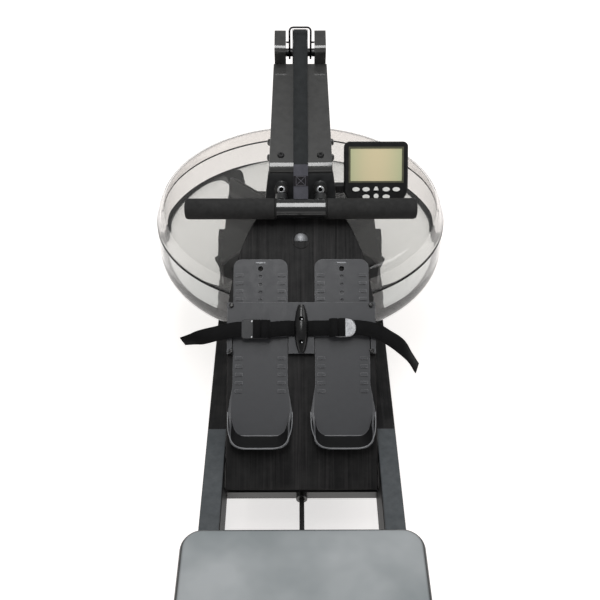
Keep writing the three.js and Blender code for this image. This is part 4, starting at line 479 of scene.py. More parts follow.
# The pads' steep heel walls take near black as painted shade
PAD_PLASTIC = coated("pad_plastic", "393a3d", "3c3d40", 0.4, 0.4, bump=0.06, rub_and_highlight="9a9b9e",
                     rub_and_highlight_amount=0.6, dust=0.0, steep_shade="0f0f10")
RING_STEEL = bright_metal("ring_steel", "77787a", "5c5d5f", 0.36)
BUCKLE_STEEL = bright_metal("buckle_steel", "b0b1b3", "7b7c7e", 0.36)
BUCKLE_PLASTIC = coated("buckle_plastic", "222325", "2c2d2f", 0.4, 0.4, rub_and_highlight="6a6a6a")
# Near black as painted shade in holes: the rest screws' sockets and the clamp's screws
RECESS_SHADE_BLACK = coated("recess_painted_shade", "020202", "050505", 0.8, 0.05, rub_and_highlight_amount=0.0, dust=0.0)
BAR_COAT = coated("bar_coat", "0a0b0c", "101112", 0.3, 0.4, bump=0.0, rub_and_highlight_amount=0.1, dust=0.0,
                  gloss=0.04)
RUBBER = coated("rubber", "111111", "1b1b1b", 0.7, 0.3, 500.0, 0.3, "3a3a3a", 0.3)
FOAM = coated("grip_foam", "272727", "303030", 0.8, 0.2, 1600.0, 0.5, "3a3a3a", 0.2)
CASE_PLASTIC = coated("case_plastic", "0d0d0e", "131314", 0.34, 0.3, rub_and_highlight="3f3f40")
KEY_PLASTIC = coated("key_plastic", "e4e4e0", "f0f0ec", 0.4, 0.4, rub_and_highlight="ffffff", dust=0.0)
BEZEL_PLASTIC = coated("bezel_plastic", "4c4c3d", "565544", 0.35, 0.4, rub_and_highlight="5c5c47", dust=0.0)
# Light plastic for the heel bead and ledge: painted highlight on the rim and on the floor's end
RIM_HIGHLIGHT_PLASTIC = coated("rim_painted_highlight", "6c6d70", "7a7b7e", 0.28, 0.6, rub_and_highlight="b4b5b7", dust=0.0)
STEEL = bright_metal("bright_steel", "c2c3c5", "8f9092", 0.3)
DARK_STEEL = bright_metal("dark_steel", "55565a", "3c3d40", 0.32)
FOOT_WEBBING = strap_webbing("foot_webbing", "080809", "161617")
STITCH_THREAD = strap_webbing("stitch_thread", "5a595f", "6c6b71", 2500.0, 2500.0)
DRIVE_WEBBING = strap_webbing("drive_webbing", "262829", "343637", 1000.0, 700.0)
# A lighter copy of the drive webbing for the pulled stretch: painted light where it turns towards the lamps
LIT_PULL_WEBBING = strap_webbing("pull_webbing_painted_light", "45454b", "57575e", 1000.0, 700.0)
PATCH_WEBBING = strap_webbing("patch_webbing", "1b1a1c", "2a282b", 1000.0, 700.0)
CLEAR_UPPER = clear_plastic("tank_clear_upper", "f3f1ef")
CLEAR_LOWER = clear_plastic("tank_clear_lower", "ececeb")
WATER = water("tank_water", "e9ecec")
SEAT_COVER = seat_cover("seat_cover")
SCREEN_FACE = screen_face("screen_face")


# The frame's own nodes: finish, soft edges and smooth rounds

FINISHES = (
    (RAIL_WOOD, ("rail_left", "rail_right", "rear_leg", "front_leg")),
    (TRACK_COAT, ("track_left", "track_right")),
    (DECK_WOOD, ("tank_deck", "top_deck", "board_support")),
    (BOARD_WOOD, ("foot_board",)),
    (PAD_PLASTIC, ("foot_bridge", "foot_pad_left", "foot_pad_right")),
    (RUBBER, ("rear_foot", "front_foot", "transport_wheel_left", "transport_wheel_right", "tank_gasket",
              "recoil_cord")),
    (NECK_COAT, ("neck_top_plate", "neck_cheek_left", "neck_cheek_right", "pulley_yoke", "cord_guide",
                 "seat_carriage")),
    (BLACK_PLASTIC, ("paddle", "drive_drum", "top_pulley", "pulley_axle", "monitor_arm",
                     "seat_wheelset_front", "seat_wheelset_rear")),
    (BLOCK_COAT, ("neck_front_block",)),
    (CASE_PLASTIC, ("monitor_case",)),
    (CLAMP_PLASTIC, ("strap_clamp",)),
    (BUCKLE_PLASTIC, ("buckle_left",)),
    (BUCKLE_STEEL, ("buckle_right",)),
    (STEEL, ("shaft_bearing",)),
    (DARK_STEEL, ("strap_guard", "recoil_roller_lower", "recoil_roller_upper")),
    (BAR_COAT, ("handle_bar",)),
    (FOAM, ("handle_grip_left", "handle_grip_right")),
    (FOOT_WEBBING, ("foot_strap_left", "foot_strap_right")),
    (DRIVE_WEBBING, ("drive_strap",)),
    (CLEAR_LOWER, ("tank_lower_shell",)),
    (CLEAR_UPPER, ("tank_upper_shell",)),
    (SEAT_COVER, ("seat_pad",)),
    (SCREEN_FACE, ("monitor_screen",)),
)
EDGE_ROUNDING = (
    (0.0006, ("foot_pad_left", "foot_pad_right", "buckle_left", "buckle_right")),
    (0.0008, ("foot_board", "foot_bridge", "monitor_case")),
    (0.001, ("rail_left", "rail_right", "neck_cheek_left", "neck_cheek_right", "board_support")),
    (0.0012, ("neck_top_plate",)),
    (0.0015, ("neck_front_block", "pulley_yoke", "monitor_arm", "seat_carriage")),
    (0.002, ("tank_deck", "top_deck", "rear_leg", "front_leg")),
)
SMOOTH_DEGREES = 35
WELD_DISTANCE = 0.00001
ROUNDING_SEGMENTS = 2
FLAT_FACE_WEIGHT = 90


def by_node(rows):
    """The value of each node, from rows of a value and its nodes."""
    return {node_name: value for value, names in rows for node_name in names}


def round_edges(piece, width, segments):
    rounding = piece.modifiers.new("rounding", "BEVEL")
    rounding.width = width
    rounding.segments = segments
    return rounding


def finish_node(piece, material, edge):
    """Gives a node its material, its smooth rounds and, if an edge is given, rounded edges."""
    mesh = piece.data
    if "custom_normal" in mesh.attributes:
        mesh.attributes.remove(mesh.attributes["custom_normal"])
    mesh.materials.clear()
    mesh.materials.append(material)
    mesh.polygons.foreach_set("use_smooth", [True] * len(mesh.polygons))
    weld = piece.modifiers.new("weld", "WELD")
    weld.merge_threshold = WELD_DISTANCE
    if edge:
        rounding = round_edges(piece, edge, ROUNDING_SEGMENTS)
        rounding.limit_method = "ANGLE"
        rounding.angle_limit = math.radians(SMOOTH_DEGREES)
    split = piece.modifiers.new("sharp_edges", "EDGE_SPLIT")
    split.split_angle = math.radians(SMOOTH_DEGREES)
    if edge:
        flat = piece.modifiers.new("flat_faces", "WEIGHTED_NORMAL")
        flat.mode = "FACE_AREA"
        flat.weight = FLAT_FACE_WEIGHT


finish_of = by_node(FINISHES)
edge_of = by_node(EDGE_ROUNDING)
for node_name, node in nodes.items():
    finish_node(node, finish_of.get(node_name, KEY_PLASTIC), edge_of.get(node_name))


# Mesh makers

MERGE_DISTANCE = 0.000001
BAND_SHARP_DEGREES = 60
SELVEDGE_SHARE = 0.35


def make_piece(name, points, faces, material, body, place=None, sharp=SMOOTH_DEGREES, laid=None):
    """A named piece from points and faces, riding on a body. laid gives each point its place on the
    strap's map."""
    mesh = bpy.data.meshes.new(name)
    moved = [place @ Vector(p) for p in points] if place else [Vector(p) for p in points]
    mesh.from_pydata(moved, [], faces)
    if laid:
        layer = mesh.uv_layers.new(name="laid")
        for loop in mesh.loops:
            layer.data[loop.index].uv = laid[loop.vertex_index]
    solid = bmesh.new()
    solid.from_mesh(mesh)
    bmesh.ops.remove_doubles(solid, verts=solid.verts, dist=MERGE_DISTANCE)
    bmesh.ops.recalc_face_normals(solid, faces=solid.faces)
    solid.to_mesh(mesh)
    solid.free()
    mesh.materials.append(material)
    mesh.polygons.foreach_set("use_smooth", [True] * len(mesh.polygons))
    mesh.set_sharp_from_angle(angle=math.radians(sharp))
    piece = bpy.data.objects.new(name, mesh)
    bpy.context.scene.collection.objects.link(piece)
    if body:
        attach(piece, body)
    return piece


def smooth_row(points, steps):
    """A smooth curve through a row of points (Catmull-Rom), with that many steps between two."""
    row = [Vector(p) for p in points]
    ends = [2 * row[0] - row[1], *row, 2 * row[-1] - row[-2]]
    smooth = []
    for k in range(1, len(ends) - 2):
        a, b, c, d = ends[k - 1:k + 3]
        for i in range(steps):
            t = i / steps
            smooth.append(((2 * b) + (c - a) * t + (2 * a - 5 * b + 4 * c - d) * t ** 2
                           + (3 * b - a - 3 * c + d) * t ** 3) / 2)
    smooth.append(row[-1])
    return smooth


def skin_rings(rings, closed_row=False, caps=True):
    """Points and faces over a row of equal rings."""
    count = len(rings[0])
    points = [p for ring in rings for p in ring]
    faces = []
    rows = len(rings) if closed_row else len(rings) - 1
    for k in range(rows):
        start, after = k * count, ((k + 1) % len(rings)) * count
        for i in range(count):
            j = (i + 1) % count
            faces.append((start + i, start + j, after + j, after + i))
    if caps and not closed_row:
        faces.append(tuple(range(count)))
        faces.append(tuple(range((len(rings) - 1) * count, len(rings) * count))[::-1])
    return points, faces


def lathe(profile, segments, centre=(0, 0)):
    """A closed profile of (radius, height) turned round Z."""
    rings = []
    for k in range(segments):
        angle = k / segments * math.tau
        rings.append([Vector((centre[0] + r * math.cos(angle), centre[1] + r * math.sin(angle), z))
                      for r, z in profile])
    return skin_rings(rings, closed_row=True)


def band_rings(stations, width, thickness):
    """Rings and map places of a flat band through stations of (place, across), with rounded selvedges."""
    rings, laid = [], []
    half, thick = width / 2, thickness / 2
    edge = thickness * SELVEDGE_SHARE
    section = [(-half, 0), (-half + edge, -thick), (half - edge, -thick), (half, 0),
               (half - edge, thick), (-half + edge, thick)]
    run = 0.0
    for k, (place, across) in enumerate(stations):
        ahead = stations[min(k + 1, len(stations) - 1)][0]
        behind = stations[max(k - 1, 0)][0]
        direction = (ahead - behind).normalized()
        wide = (across - direction * across.dot(direction)).normalized()
        up = direction.cross(wide)
        if k:
            run += (place - stations[k - 1][0]).length
        rings.append([place + wide * w + up * t for w, t in section])
        laid.extend([(run, w) for w, t in section])
    return rings, laid


def smooth_stations(stations, steps):
    places = smooth_row([s[0] for s in stations], steps)
    widths = smooth_row([s[1] for s in stations], steps)
    return list(zip(places, widths))


def band(name, stations, width, thickness, material, body, place=None):
    rings, laid = band_rings(stations, width, thickness)
    points, faces = skin_rings(rings)
    return make_piece(name, points, faces, material, body, place, BAND_SHARP_DEGREES, laid)


def tube_rings(row, radius, sides, start_side):
    rings = []
    side = Vector(start_side)
    for k, point in enumerate(row):
        ahead = row[min(k + 1, len(row) - 1)]
        behind = row[max(k - 1, 0)]
        direction = (ahead - behind).normalized()
        side = (side - direction * side.dot(direction)).normalized()
        over = direction.cross(side)
        rings.append([point + side * (radius * math.cos(i / sides * math.tau))
                      + over * (radius * math.sin(i / sides * math.tau)) for i in range(sides)])
    return rings


# Tank: two clear walls and the water between them

TANK_CENTRE = (0, 0.76)
TANK_SEGMENTS = 160
TANK_RADIUS = 0.283
TANK_WALL = 0.004
CURVE_STEPS = 4
LOWER_INSETS = ((0, 0.0018), (0, 0.020), (0, 0.040), (0.0006, 0.062), (0.003, 0.074), (0.0075, 0.083),
                (0.014, 0.090), (0.023, 0.095), (0.038, 0.098))
UPPER_INSETS = ((0, 0.0018), (0.0035, 0.012), (0.007, 0.024), (0.011, 0.033), (0.017, 0.0405),
                (0.026, 0.0445), (0.041, 0.0455))
LID_BOSS_RADIUS = 0.058
LID_BOSS_HEIGHT = 0.004
LID_BORE_RADIUS = 0.016
AXIS_RADIUS = 0.0005
WATER_DEPTH = 0.045
WATER_OVERLAP = 0.0002


def wall_curves(insets, seam, sign):
    """Outer and inner curve of a shell's wall, as (radius, height) from its lip to its flat."""
    stations = [Vector((TANK_RADIUS - inset, seam + sign * rise, 0)) for inset, rise in insets]
    outer = smooth_row(stations, CURVE_STEPS)
    inner = []
    for k, point in enumerate(outer):
        run = (outer[min(k + 1, len(outer) - 1)] - outer[max(k - 1, 0)]).normalized()
        inward = Vector((-abs(run.y), -sign * abs(run.x), 0))
        inner.append(point + inward * TANK_WALL)
    inner[0].y = outer[0].y
    return [(p.x, p.y) for p in outer], [(p.x, p.y) for p in inner]


def build_tank():
    lower_low, lower_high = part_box("tank_lower_shell")
    upper_low, upper_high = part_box("tank_upper_shell")
    seam = (lower_high.z + upper_low.z) / 2
    floor = lower_low.z
    outer, inner = wall_curves(LOWER_INSETS, seam, -1)
    profile = [(AXIS_RADIUS, floor), *outer[::-1], *inner, (AXIS_RADIUS, floor + TANK_WALL)]
    points, faces = lathe(profile, TANK_SEGMENTS, TANK_CENTRE)
    wall = make_piece("tank_lower_wall", points, faces, CLEAR_LOWER, "frame")
    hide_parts("tank_lower_shell")

    level = floor + TANK_WALL + WATER_DEPTH
    wetted = [(r + WATER_OVERLAP, z) for r, z in inner if z < level]
    profile = [(AXIS_RADIUS, level), (wetted[0][0], level), *wetted,
               (AXIS_RADIUS, floor + TANK_WALL - WATER_OVERLAP)]
    points, faces = lathe(profile, TANK_SEGMENTS, TANK_CENTRE)
    make_piece("tank_water", points, faces, WATER, "frame")

    top = upper_high.z - LID_BOSS_HEIGHT
    outer, inner = wall_curves(UPPER_INSETS, seam, 1)
    profile = [(LID_BORE_RADIUS, top - TANK_WALL), *inner[::-1], *outer, (LID_BOSS_RADIUS, top),
               (LID_BOSS_RADIUS, top + LID_BOSS_HEIGHT), (LID_BORE_RADIUS, top + LID_BOSS_HEIGHT)]
    points, faces = lathe(profile, TANK_SEGMENTS, TANK_CENTRE)
    lid = make_piece("tank_upper_wall", points, faces, CLEAR_UPPER, "frame")
    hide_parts("tank_upper_shell")


build_tank()


# Foot straps with their tails

BOARD_HALF = 0.1225
CLAMP_ALONG = 0.260
STRAP_LEVEL = 0.0147
STRAP_WIDTH = 0.025
STRAP_THICKNESS = 0.0022
TAIL_DROP = 0.028
STRAP_STEPS = 5
# Out from the clamp, up the slope, lift and drop, each as a share of its own size, and the width's turn
LEFT_STRAP = (
    (0.012, 0, 0, 0, (0, 1, 0)), (0.118, 0, 0, 0, (0, 1, 0)), (0.196, 0, 1, 0, (0, 1, 0)),
    (0.42, -0.09, 2, 0, (0, 1, 0)), (0.612, -0.09, 2, 0, (0, 1, 0)), (0.85, -0.09, 2, 0, (0, 1, 0)),
    (1, -0.2, 1, 0, (0, 1, 0)), (1.16, -0.35, -1, 0, (0, 1, 0)), (1.31, -0.5, 0, 0.25, (0.1, 0.9, 0.3)),
    (1.45, -0.62, 0, 0.45, (0.2, 0.6, 0.7)), (1.6, -0.75, 0, 0.6, (0.3, 0.4, 0.9)))
RIGHT_STRAP = (
    (0.012, 0, 0, 0, (0, 1, 0)), (0.118, 0, 0, 0, (0, 1, 0)), (0.196, 0, 1, 0, (0, 1, 0)),
    (0.38, 0, 2, 0, (0, 1, 0)), (0.555, 0, 2, 0, (0, 1, 0)), (0.78, 0, 2, 0, (0, 1, 0)),
    (1, -0.2, 1, 0, (0, 1, 0)), (1.16, -0.6, -1, 0, (0.2, 1, -0.1)), (1.32, -1.1, 0, 0.3, (0.4, 0.9, -0.1)),
    (1.46, -1.8, 0, 0.7, (0.25, 0.75, -0.55)), (1.57, -2.5, 0, 1.2, (0.25, 0.75, -0.55)))


def strap_place(out, up, lift, drop, sign):
    return Vector((sign * out * BOARD_HALF, CLAMP_ALONG + up * STRAP_WIDTH,
                   STRAP_LEVEL + lift * STRAP_THICKNESS - drop * TAIL_DROP))


def build_foot_straps():
    for (side, sign), shares in zip(SIDES, (LEFT_STRAP, RIGHT_STRAP)):
        stations = [(strap_place(*share[:4], sign), Vector(share[4])) for share in shares]
        strap = band(f"foot_webbing_{side}", smooth_stations(stations, STRAP_STEPS), STRAP_WIDTH,
                     STRAP_THICKNESS, FOOT_WEBBING, "frame", BOARD)
        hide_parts(f"foot_strap_{side}")


build_foot_straps()


# Buckles: the strap's loops over their bars

LOOP_WIDTH = 0.0300
LOOP_THICKNESS = 0.0016
LOOP_HEIGHT = 0.0036
LOOP_STEPS = 4
# Inwards from the buckle's outer end as a share of its length, and up as a share of the loop's height
LOOP_SHARES = (
    (0.42, -1), (0.43, 0.5), (0.47, 1), (0.56, 1.15), (0.65, 0.9), (0.69, 0.1), (0.73, 0.9), (0.82, 1.15),
    (0.92, 0.95), (0.98, 0.3), (1.02, -0.8))


def board_box(node_name):
    """Low and high corner of a node in the board's own directions."""
    inverse = BOARD.inverted()
    places = [inverse @ nodes[node_name].matrix_world @ v.co for v in nodes[node_name].data.vertices]
    return [Vector(pick(p[k] for p in places) for k in range(3)) for pick in (min, max)]


def build_buckle_loops():
    for side, sign in SIDES:
        low, high = board_box(f"buckle_{side}")
        outer, inner = (low.x, high.x) if sign < 0 else (high.x, low.x)
        along = (low.y + high.y) / 2
        stations = [
            (Vector((outer + (inner - outer) * share, along, high.z + LOOP_HEIGHT * lift)), Y_AXIS.copy())
            for share, lift in LOOP_SHARES]
        band(f"buckle_loop_{side}", smooth_stations(stations, LOOP_STEPS), LOOP_WIDTH, LOOP_THICKNESS,
             FOOT_WEBBING, "frame", BOARD)


build_buckle_loops()


# Screws, pins and bumpers: round parts seated where their matrix puts them

ROUND_SEGMENTS = 32
ROUND_SHARP_DEGREES = 40
SOCKET_DEPTH_SHARE = 0.35
HEAD_DOME = ((0.72, 1), (0.94, 0.62), (1, 0.15), (1, 0))
# Screws by their radius, height and socket radius
PLATE_SCREW = (0.0062, 0.0034, 0.0026)
PLATE_SCREW_PLACE = (0.034, 0.0148, -0.0002)
REST_SCREW = (0.0070, 0.003, 0.0040)
REST_SCREW_RISE = 0.0087
# A black disc in each rest screw's socket: painted shade
REST_SOCKET_SHADE = ((0, 0), (0.0039, 0), (0.0039, 0.0018), (0, 0.0018))
REST_SOCKET_SHADE_RISE = 0.0090
BUMPER = ((0, -0.004), (0.0118, -0.004), (0.0118, 0.002), (0.0105, 0.0062), (0.0082, 0.0088), (0, 0.0088))
BUMPER_PLACE = (0.033, 0.566, 0.508)
BUMPER_TILT = Vector((0, -0.72, 0.69))
BRIDGE_SCREW = (0.0040, 0.0016, 0.0020)
BRIDGE_SCREW_ASIDE = 0.115
BRIDGE_SCREW_LEVEL = 0.0128
BRIDGE_SCREWS_ALONG = (("upper", 0.299), ("lower", 0.2228))
BUCKLE_PIN = ((0, -0.001), (0.0017, -0.001), (0.0017, 0.0006), (0.0010, 0.0012), (0, 0.0012))
PIN_SHARE = 0.375
PIN_ASIDE = 0.0128
CLAMP_SCREW = (0.0038, 0.0008, 0.0022)
CLAMP_SCREWS_ALONG = (("upper", 0.2744, 0.0256), ("lower", 0.2367, 0.0236))
# A small bright steel bead set beside each clamp screw: painted glint
SCREW_GLINT = ((0, 0), (0.0017, 0), (0.0012, 0.0012), (0, 0.0014))
SCREW_GLINT_OFFSET = (0.0010, -0.0014, 0.0002)


def turned_part(name, profile, material, place):
    """A profile of (radius, height) that starts and ends on the axis, turned round it."""
    points, faces = lathe(profile, ROUND_SEGMENTS)
    return make_piece(name, points, faces, material, "frame", place, ROUND_SHARP_DEGREES)


def seated(place, direction):
    """Matrix at a place whose Z points along a direction."""
    return Matrix.Translation(place) @ Vector(direction).to_track_quat("Z", "Y").to_matrix().to_4x4()


def on_board(across, along, above):
    """Matrix that seats a part square on the foot board."""
    return BOARD @ seated(Vector((across, along, above)), Z_AXIS)


def mirrored(place, sign):
    return Vector((sign * place[0], place[1], place[2]))


def screw_profile(radius, height, socket):
    """A domed screw head with a socket in its middle."""
    deep = height * SOCKET_DEPTH_SHARE
    dome = [(radius * across, height * up) for across, up in HEAD_DOME]
    return [(0, deep), (socket, deep), (socket, height), *dome, (0, 0)]


def build_screws():
    for side, sign in SIDES:
        plate_screw = NECK @ seated(mirrored(PLATE_SCREW_PLACE, sign), Z_AXIS)
        turned_part(f"plate_screw_{side}", screw_profile(*PLATE_SCREW), CLAMP_PLASTIC, plate_screw)
        bumper = mirrored(BUMPER_PLACE, sign)
        turned_part(f"rest_bumper_{side}", BUMPER, RUBBER, seated(bumper, BUMPER_TILT))
        turned_part(f"rest_screw_{side}", screw_profile(*REST_SCREW), STEEL,
                    seated(bumper + BUMPER_TILT * REST_SCREW_RISE, BUMPER_TILT))
        turned_part(f"rest_socket_shade_{side}", REST_SOCKET_SHADE, RECESS_SHADE_BLACK,
                    seated(bumper + BUMPER_TILT * REST_SOCKET_SHADE_RISE, BUMPER_TILT))
        for label, along in BRIDGE_SCREWS_ALONG:
            turned_part(f"bridge_screw_{label}_{side}", screw_profile(*BRIDGE_SCREW), CLAMP_PLASTIC,
                        on_board(sign * BRIDGE_SCREW_ASIDE, along, BRIDGE_SCREW_LEVEL))
        low, high = board_box("buckle_left")
        turned_part(f"buckle_pin_{side}", BUCKLE_PIN, STEEL,
                    on_board(low.x + PIN_SHARE * (high.x - low.x),
                             (low.y + high.y) / 2 + sign * PIN_ASIDE, high.z))
    for label, along, above in CLAMP_SCREWS_ALONG:
        # The clamp's screws are drawn near black: painted shade of their holes
        turned_part(f"clamp_screw_{label}", screw_profile(*CLAMP_SCREW), RECESS_SHADE_BLACK,
                    on_board(0, along, above))
        # Painted glint: a bright bead off to one side of the dark screw
        aside, back, rise = SCREW_GLINT_OFFSET
        turned_part(f"clamp_screw_glint_{label}", SCREW_GLINT, STEEL,
                    on_board(aside, along + back, above + rise))


build_screws()


# Foot pads: a light bead round the heel cup's rim and a light ledge in the cup, both painted highlights, and
# the metal latch in the slot

PAD_CENTRE_X = 0.0675
PAD_FLARE_HALF = 0.0525
PAD_RIM_ALONG = 0.062
PAD_FLARE_ALONG = 0.124
PAD_FLOOR_HEIGHT = 0.005
PAD_RIM_HEIGHT = 0.030
PAD_ROUND_SHARE = 0.45
PAD_RISE_SHARE = 0.455
PAD_WALL = 0.003
RIM_STEPS = 48
RIM_HIGHLIGHT_RADIUS = 0.0009
RIM_HIGHLIGHT_SIDES = 10
LEAST_SINE = 1e-9
LATCH_SIZE = (0.0168, 0.0034, 0.0030)
LATCH_ALONG = 0.372
LATCH_LEVEL = 0.0042
LATCH_EDGE = 0.0005
EDGE_HIGHLIGHT_SIZE = (0.084, 0.0012, 0.0010)
EDGE_HIGHLIGHT_ALONG = 0.0862
EDGE_HIGHLIGHT_LEVEL = 0.0050
EDGE_HIGHLIGHT_ROUNDING = 0.0003
BOX_SEGMENTS = 3


def rim_row(centre_x):
    """Places round the heel cup's rim, in the board's own directions."""
    row = []
    for k in range(RIM_STEPS + 1):
        angle = math.pi * (1 + k / RIM_STEPS)
        across, down = math.cos(angle), abs(math.sin(angle))
        side = math.copysign(abs(across) ** PAD_ROUND_SHARE, across)
        reach = down ** PAD_ROUND_SHARE if down > LEAST_SINE else 0
        rise = min(1, down / PAD_RISE_SHARE)
        row.append(Vector((
            centre_x + side * (PAD_FLARE_HALF - PAD_WALL * rise),
            PAD_FLARE_ALONG - reach * (PAD_FLARE_ALONG - PAD_RIM_ALONG) + PAD_WALL * rise,
            PAD_FLOOR_HEIGHT + (PAD_RIM_HEIGHT - PAD_FLOOR_HEIGHT) * rise)))
    return row


def rounded_box(name, size, middle, material, body, edge):
    """A box with rounded edges, in the board's own directions."""
    x, y, z = (s / 2 for s in size)
    points = [Vector(middle) + Vector((a * x, b * y, c * z))
              for c in (-1, 1) for b in (-1, 1) for a in (-1, 1)]
    faces = [(0, 1, 3, 2), (4, 5, 7, 6), (0, 1, 5, 4), (2, 3, 7, 6), (0, 2, 6, 4), (1, 3, 7, 5)]
    round_edges(make_piece(name, points, faces, material, body, BOARD), edge, BOX_SEGMENTS)


BADGE_ALONG = 0.413
BADGE_RADIUS = 0.0135
BADGE_FLAT_SHARE = 0.28
BADGE_FACE_SHARE = 0.84
BADGE_STEPS = 40
# Share of the badge's radius, and height over the board
BADGE_DISH = ((0, -0.0002), (1, -0.0002), (1, 0.0008), (0.94, 0.0014), (0, 0.0014))
BADGE_FACE = ((1, 0.0012), (1, 0.0018), (0.94, 0.0022))


def build_badge():
    """A bare round badge: a black dish with a bright face cut off flat below."""
    dish = [(BADGE_RADIUS * share, z) for share, z in BADGE_DISH]
    turned_part("badge_dish", dish, CLAMP_PLASTIC, on_board(0, BADGE_ALONG, 0))
    start = -math.asin(BADGE_FLAT_SHARE)
    sweep = math.pi - 2 * start
    reach = BADGE_RADIUS * BADGE_FACE_SHARE
    angles = [start + sweep * k / BADGE_STEPS for k in range(BADGE_STEPS + 1)]
    rings = [[Vector((reach * math.cos(angle) * share, BADGE_ALONG + reach * math.sin(angle) * share, z))
              for angle in angles] for share, z in BADGE_FACE]
    points, faces = skin_rings(rings)
    make_piece("badge_face", points, faces, RING_STEEL, "frame", BOARD, ROUND_SHARP_DEGREES)


def build_pad_trim():
    for side, sign in SIDES:
        row = rim_row(sign * PAD_CENTRE_X)
        points, faces = skin_rings(tube_rings(row, RIM_HIGHLIGHT_RADIUS, RIM_HIGHLIGHT_SIDES, Z_AXIS))
        pad = f"{side}_pad"
        rim_highlight = make_piece(f"heel_rim_highlight_{side}", points, faces, RIM_HIGHLIGHT_PLASTIC, pad, BOARD, BAND_SHARP_DEGREES)
        rounded_box(f"slot_latch_{side}", LATCH_SIZE, (sign * PAD_CENTRE_X, LATCH_ALONG, LATCH_LEVEL),
                    RING_STEEL, pad, LATCH_EDGE)
        rounded_box(f"heel_edge_highlight_{side}", EDGE_HIGHLIGHT_SIZE, (sign * PAD_CENTRE_X, EDGE_HIGHLIGHT_ALONG, EDGE_HIGHLIGHT_LEVEL),
                    RIM_HIGHLIGHT_PLASTIC, pad, EDGE_HIGHLIGHT_ROUNDING)


build_pad_trim()
build_badge()


# Drive strap: pulled stretch, run over the pulley to the drum, and the turns wound on it

DRIVE_WIDTH = 0.025
DRIVE_THICKNESS = 0.0022
LIP_RADIUS = 0.016
LIP_TRACK = 0.0195
PULLEY_ALONG = 0.280
PULLEY_ABOVE = -0.014
PULLEY_TRACK = 0.0409
PULL_DEGREES = 40
HANDLE_PLACE = Vector((0, 0.521, 0.5017))
SLEEVE_REACH = 0.017
DRUM_RUN_X = 0.0302
DRUM_RUN_Z = 0.4408
DRUM_LEAD = 0.034
PATCH_FROM = 0.0205
PATCH_LENGTH = 0.018
PATCH_WIDTH = 0.0246
PATCH_THICKNESS = 0.0010
STITCH_KNOTS = ((-1, -1), (1, -1), (1, 1), (-1, 1), (-1, -1), (1, 1), (1, -1), (-1, 1))
STITCH_CORNER = 0.0080
STITCH_RADIUS = 0.0004
STITCH_SIDES = 6
COIL_INNER = 0.0203
COIL_LAYERS = 5
COIL_SEGMENTS = 96
COIL_RIDGE_SHARE = 0.2
# Outwards as a share of a layer, and down as a share of the ridge
COIL_LAYER = ((0, 1), (0.3, 0), (0.7, 0))
LIP_STEPS = 16
PULLEY_STEPS = 28
TWIST_STEPS = 28
PULL_STEPS = 12
PATCH_STEPS = 4
STITCH_STEPS = 4


def arc_stations(centre, radius, first, last, steps):
    angles = [first + (last - first) * k / steps for k in range(steps + 1)]
    return [(centre + Vector((0, radius * math.cos(a), radius * math.sin(a))), X_AXIS.copy())
            for a in angles]


def run_stations():
    """The strap's way over the lip and the pulley, and by a quarter twist onto the drum."""
    lip = NECK @ Vector((0, 0, -LIP_RADIUS))
    pulley = NECK @ Vector((0, PULLEY_ALONG, PULLEY_ABOVE))
    reach = pulley - lip
    span = math.atan2(reach.z, reach.y) + math.asin((PULLEY_TRACK - LIP_TRACK) / reach.length)
    bend_from, bend_to = math.pi / 2 + math.radians(PULL_DEGREES), math.pi / 2 + span
    stations = arc_stations(lip, LIP_TRACK, bend_from, bend_to, LIP_STEPS)
    leave = Vector((0, TANK_CENTRE[1] - pulley.y, DRUM_RUN_Z - pulley.z)).normalized()
    stations += arc_stations(pulley, PULLEY_TRACK, bend_to, math.atan2(leave.y, -leave.z), PULLEY_STEPS)
    first = stations[-1][0]
    last = Vector((DRUM_RUN_X, TANK_CENTRE[1] + DRUM_LEAD, DRUM_RUN_Z))
    third_of_way = (last - first).length / 3
    second, third = first + leave * third_of_way, last + Y_AXIS * third_of_way
    for k in range(1, TWIST_STEPS + 1):
        s = k / TWIST_STEPS
        place = (first * (1 - s) ** 3 + second * 3 * s * (1 - s) ** 2 + third * 3 * s ** 2 * (1 - s)
                 + last * s ** 3)
        turn = s * math.pi / 2
        stations.append((place, Vector((math.cos(turn), 0, math.sin(turn)))))
    stations.append((Vector((DRUM_RUN_X, TANK_CENTRE[1], DRUM_RUN_Z)), Z_AXIS.copy()))
    return stations


def build_patch(start, away):
    """The patch sewn on the pulled stretch, and its stitches."""
    square = away.cross(X_AXIS)
    outward = square if square.y < 0 else -square
    lifted = start + outward * (DRIVE_THICKNESS / 2)
    sewn = [(lifted + away * (PATCH_FROM + PATCH_LENGTH * k / PATCH_STEPS), X_AXIS.copy())
            for k in range(PATCH_STEPS + 1)]
    patch = band("drive_strap_patch", sewn, PATCH_WIDTH, PATCH_THICKNESS, PATCH_WEBBING, None)
    middle = lifted + away * (PATCH_FROM + PATCH_LENGTH / 2) + outward * (PATCH_THICKNESS / 2)
    knots = [middle + X_AXIS * (a * STITCH_CORNER) + away * (b * STITCH_CORNER) for a, b in STITCH_KNOTS]
    row = [knot.lerp(after, i / STITCH_STEPS)
           for knot, after in zip(knots, knots[1:]) for i in range(STITCH_STEPS)]
    row.append(knots[-1])
    points, faces = skin_rings(tube_rings(row, STITCH_RADIUS, STITCH_SIDES, outward))
    return patch, make_piece("drive_strap_stitches", points, faces, STITCH_THREAD, None)


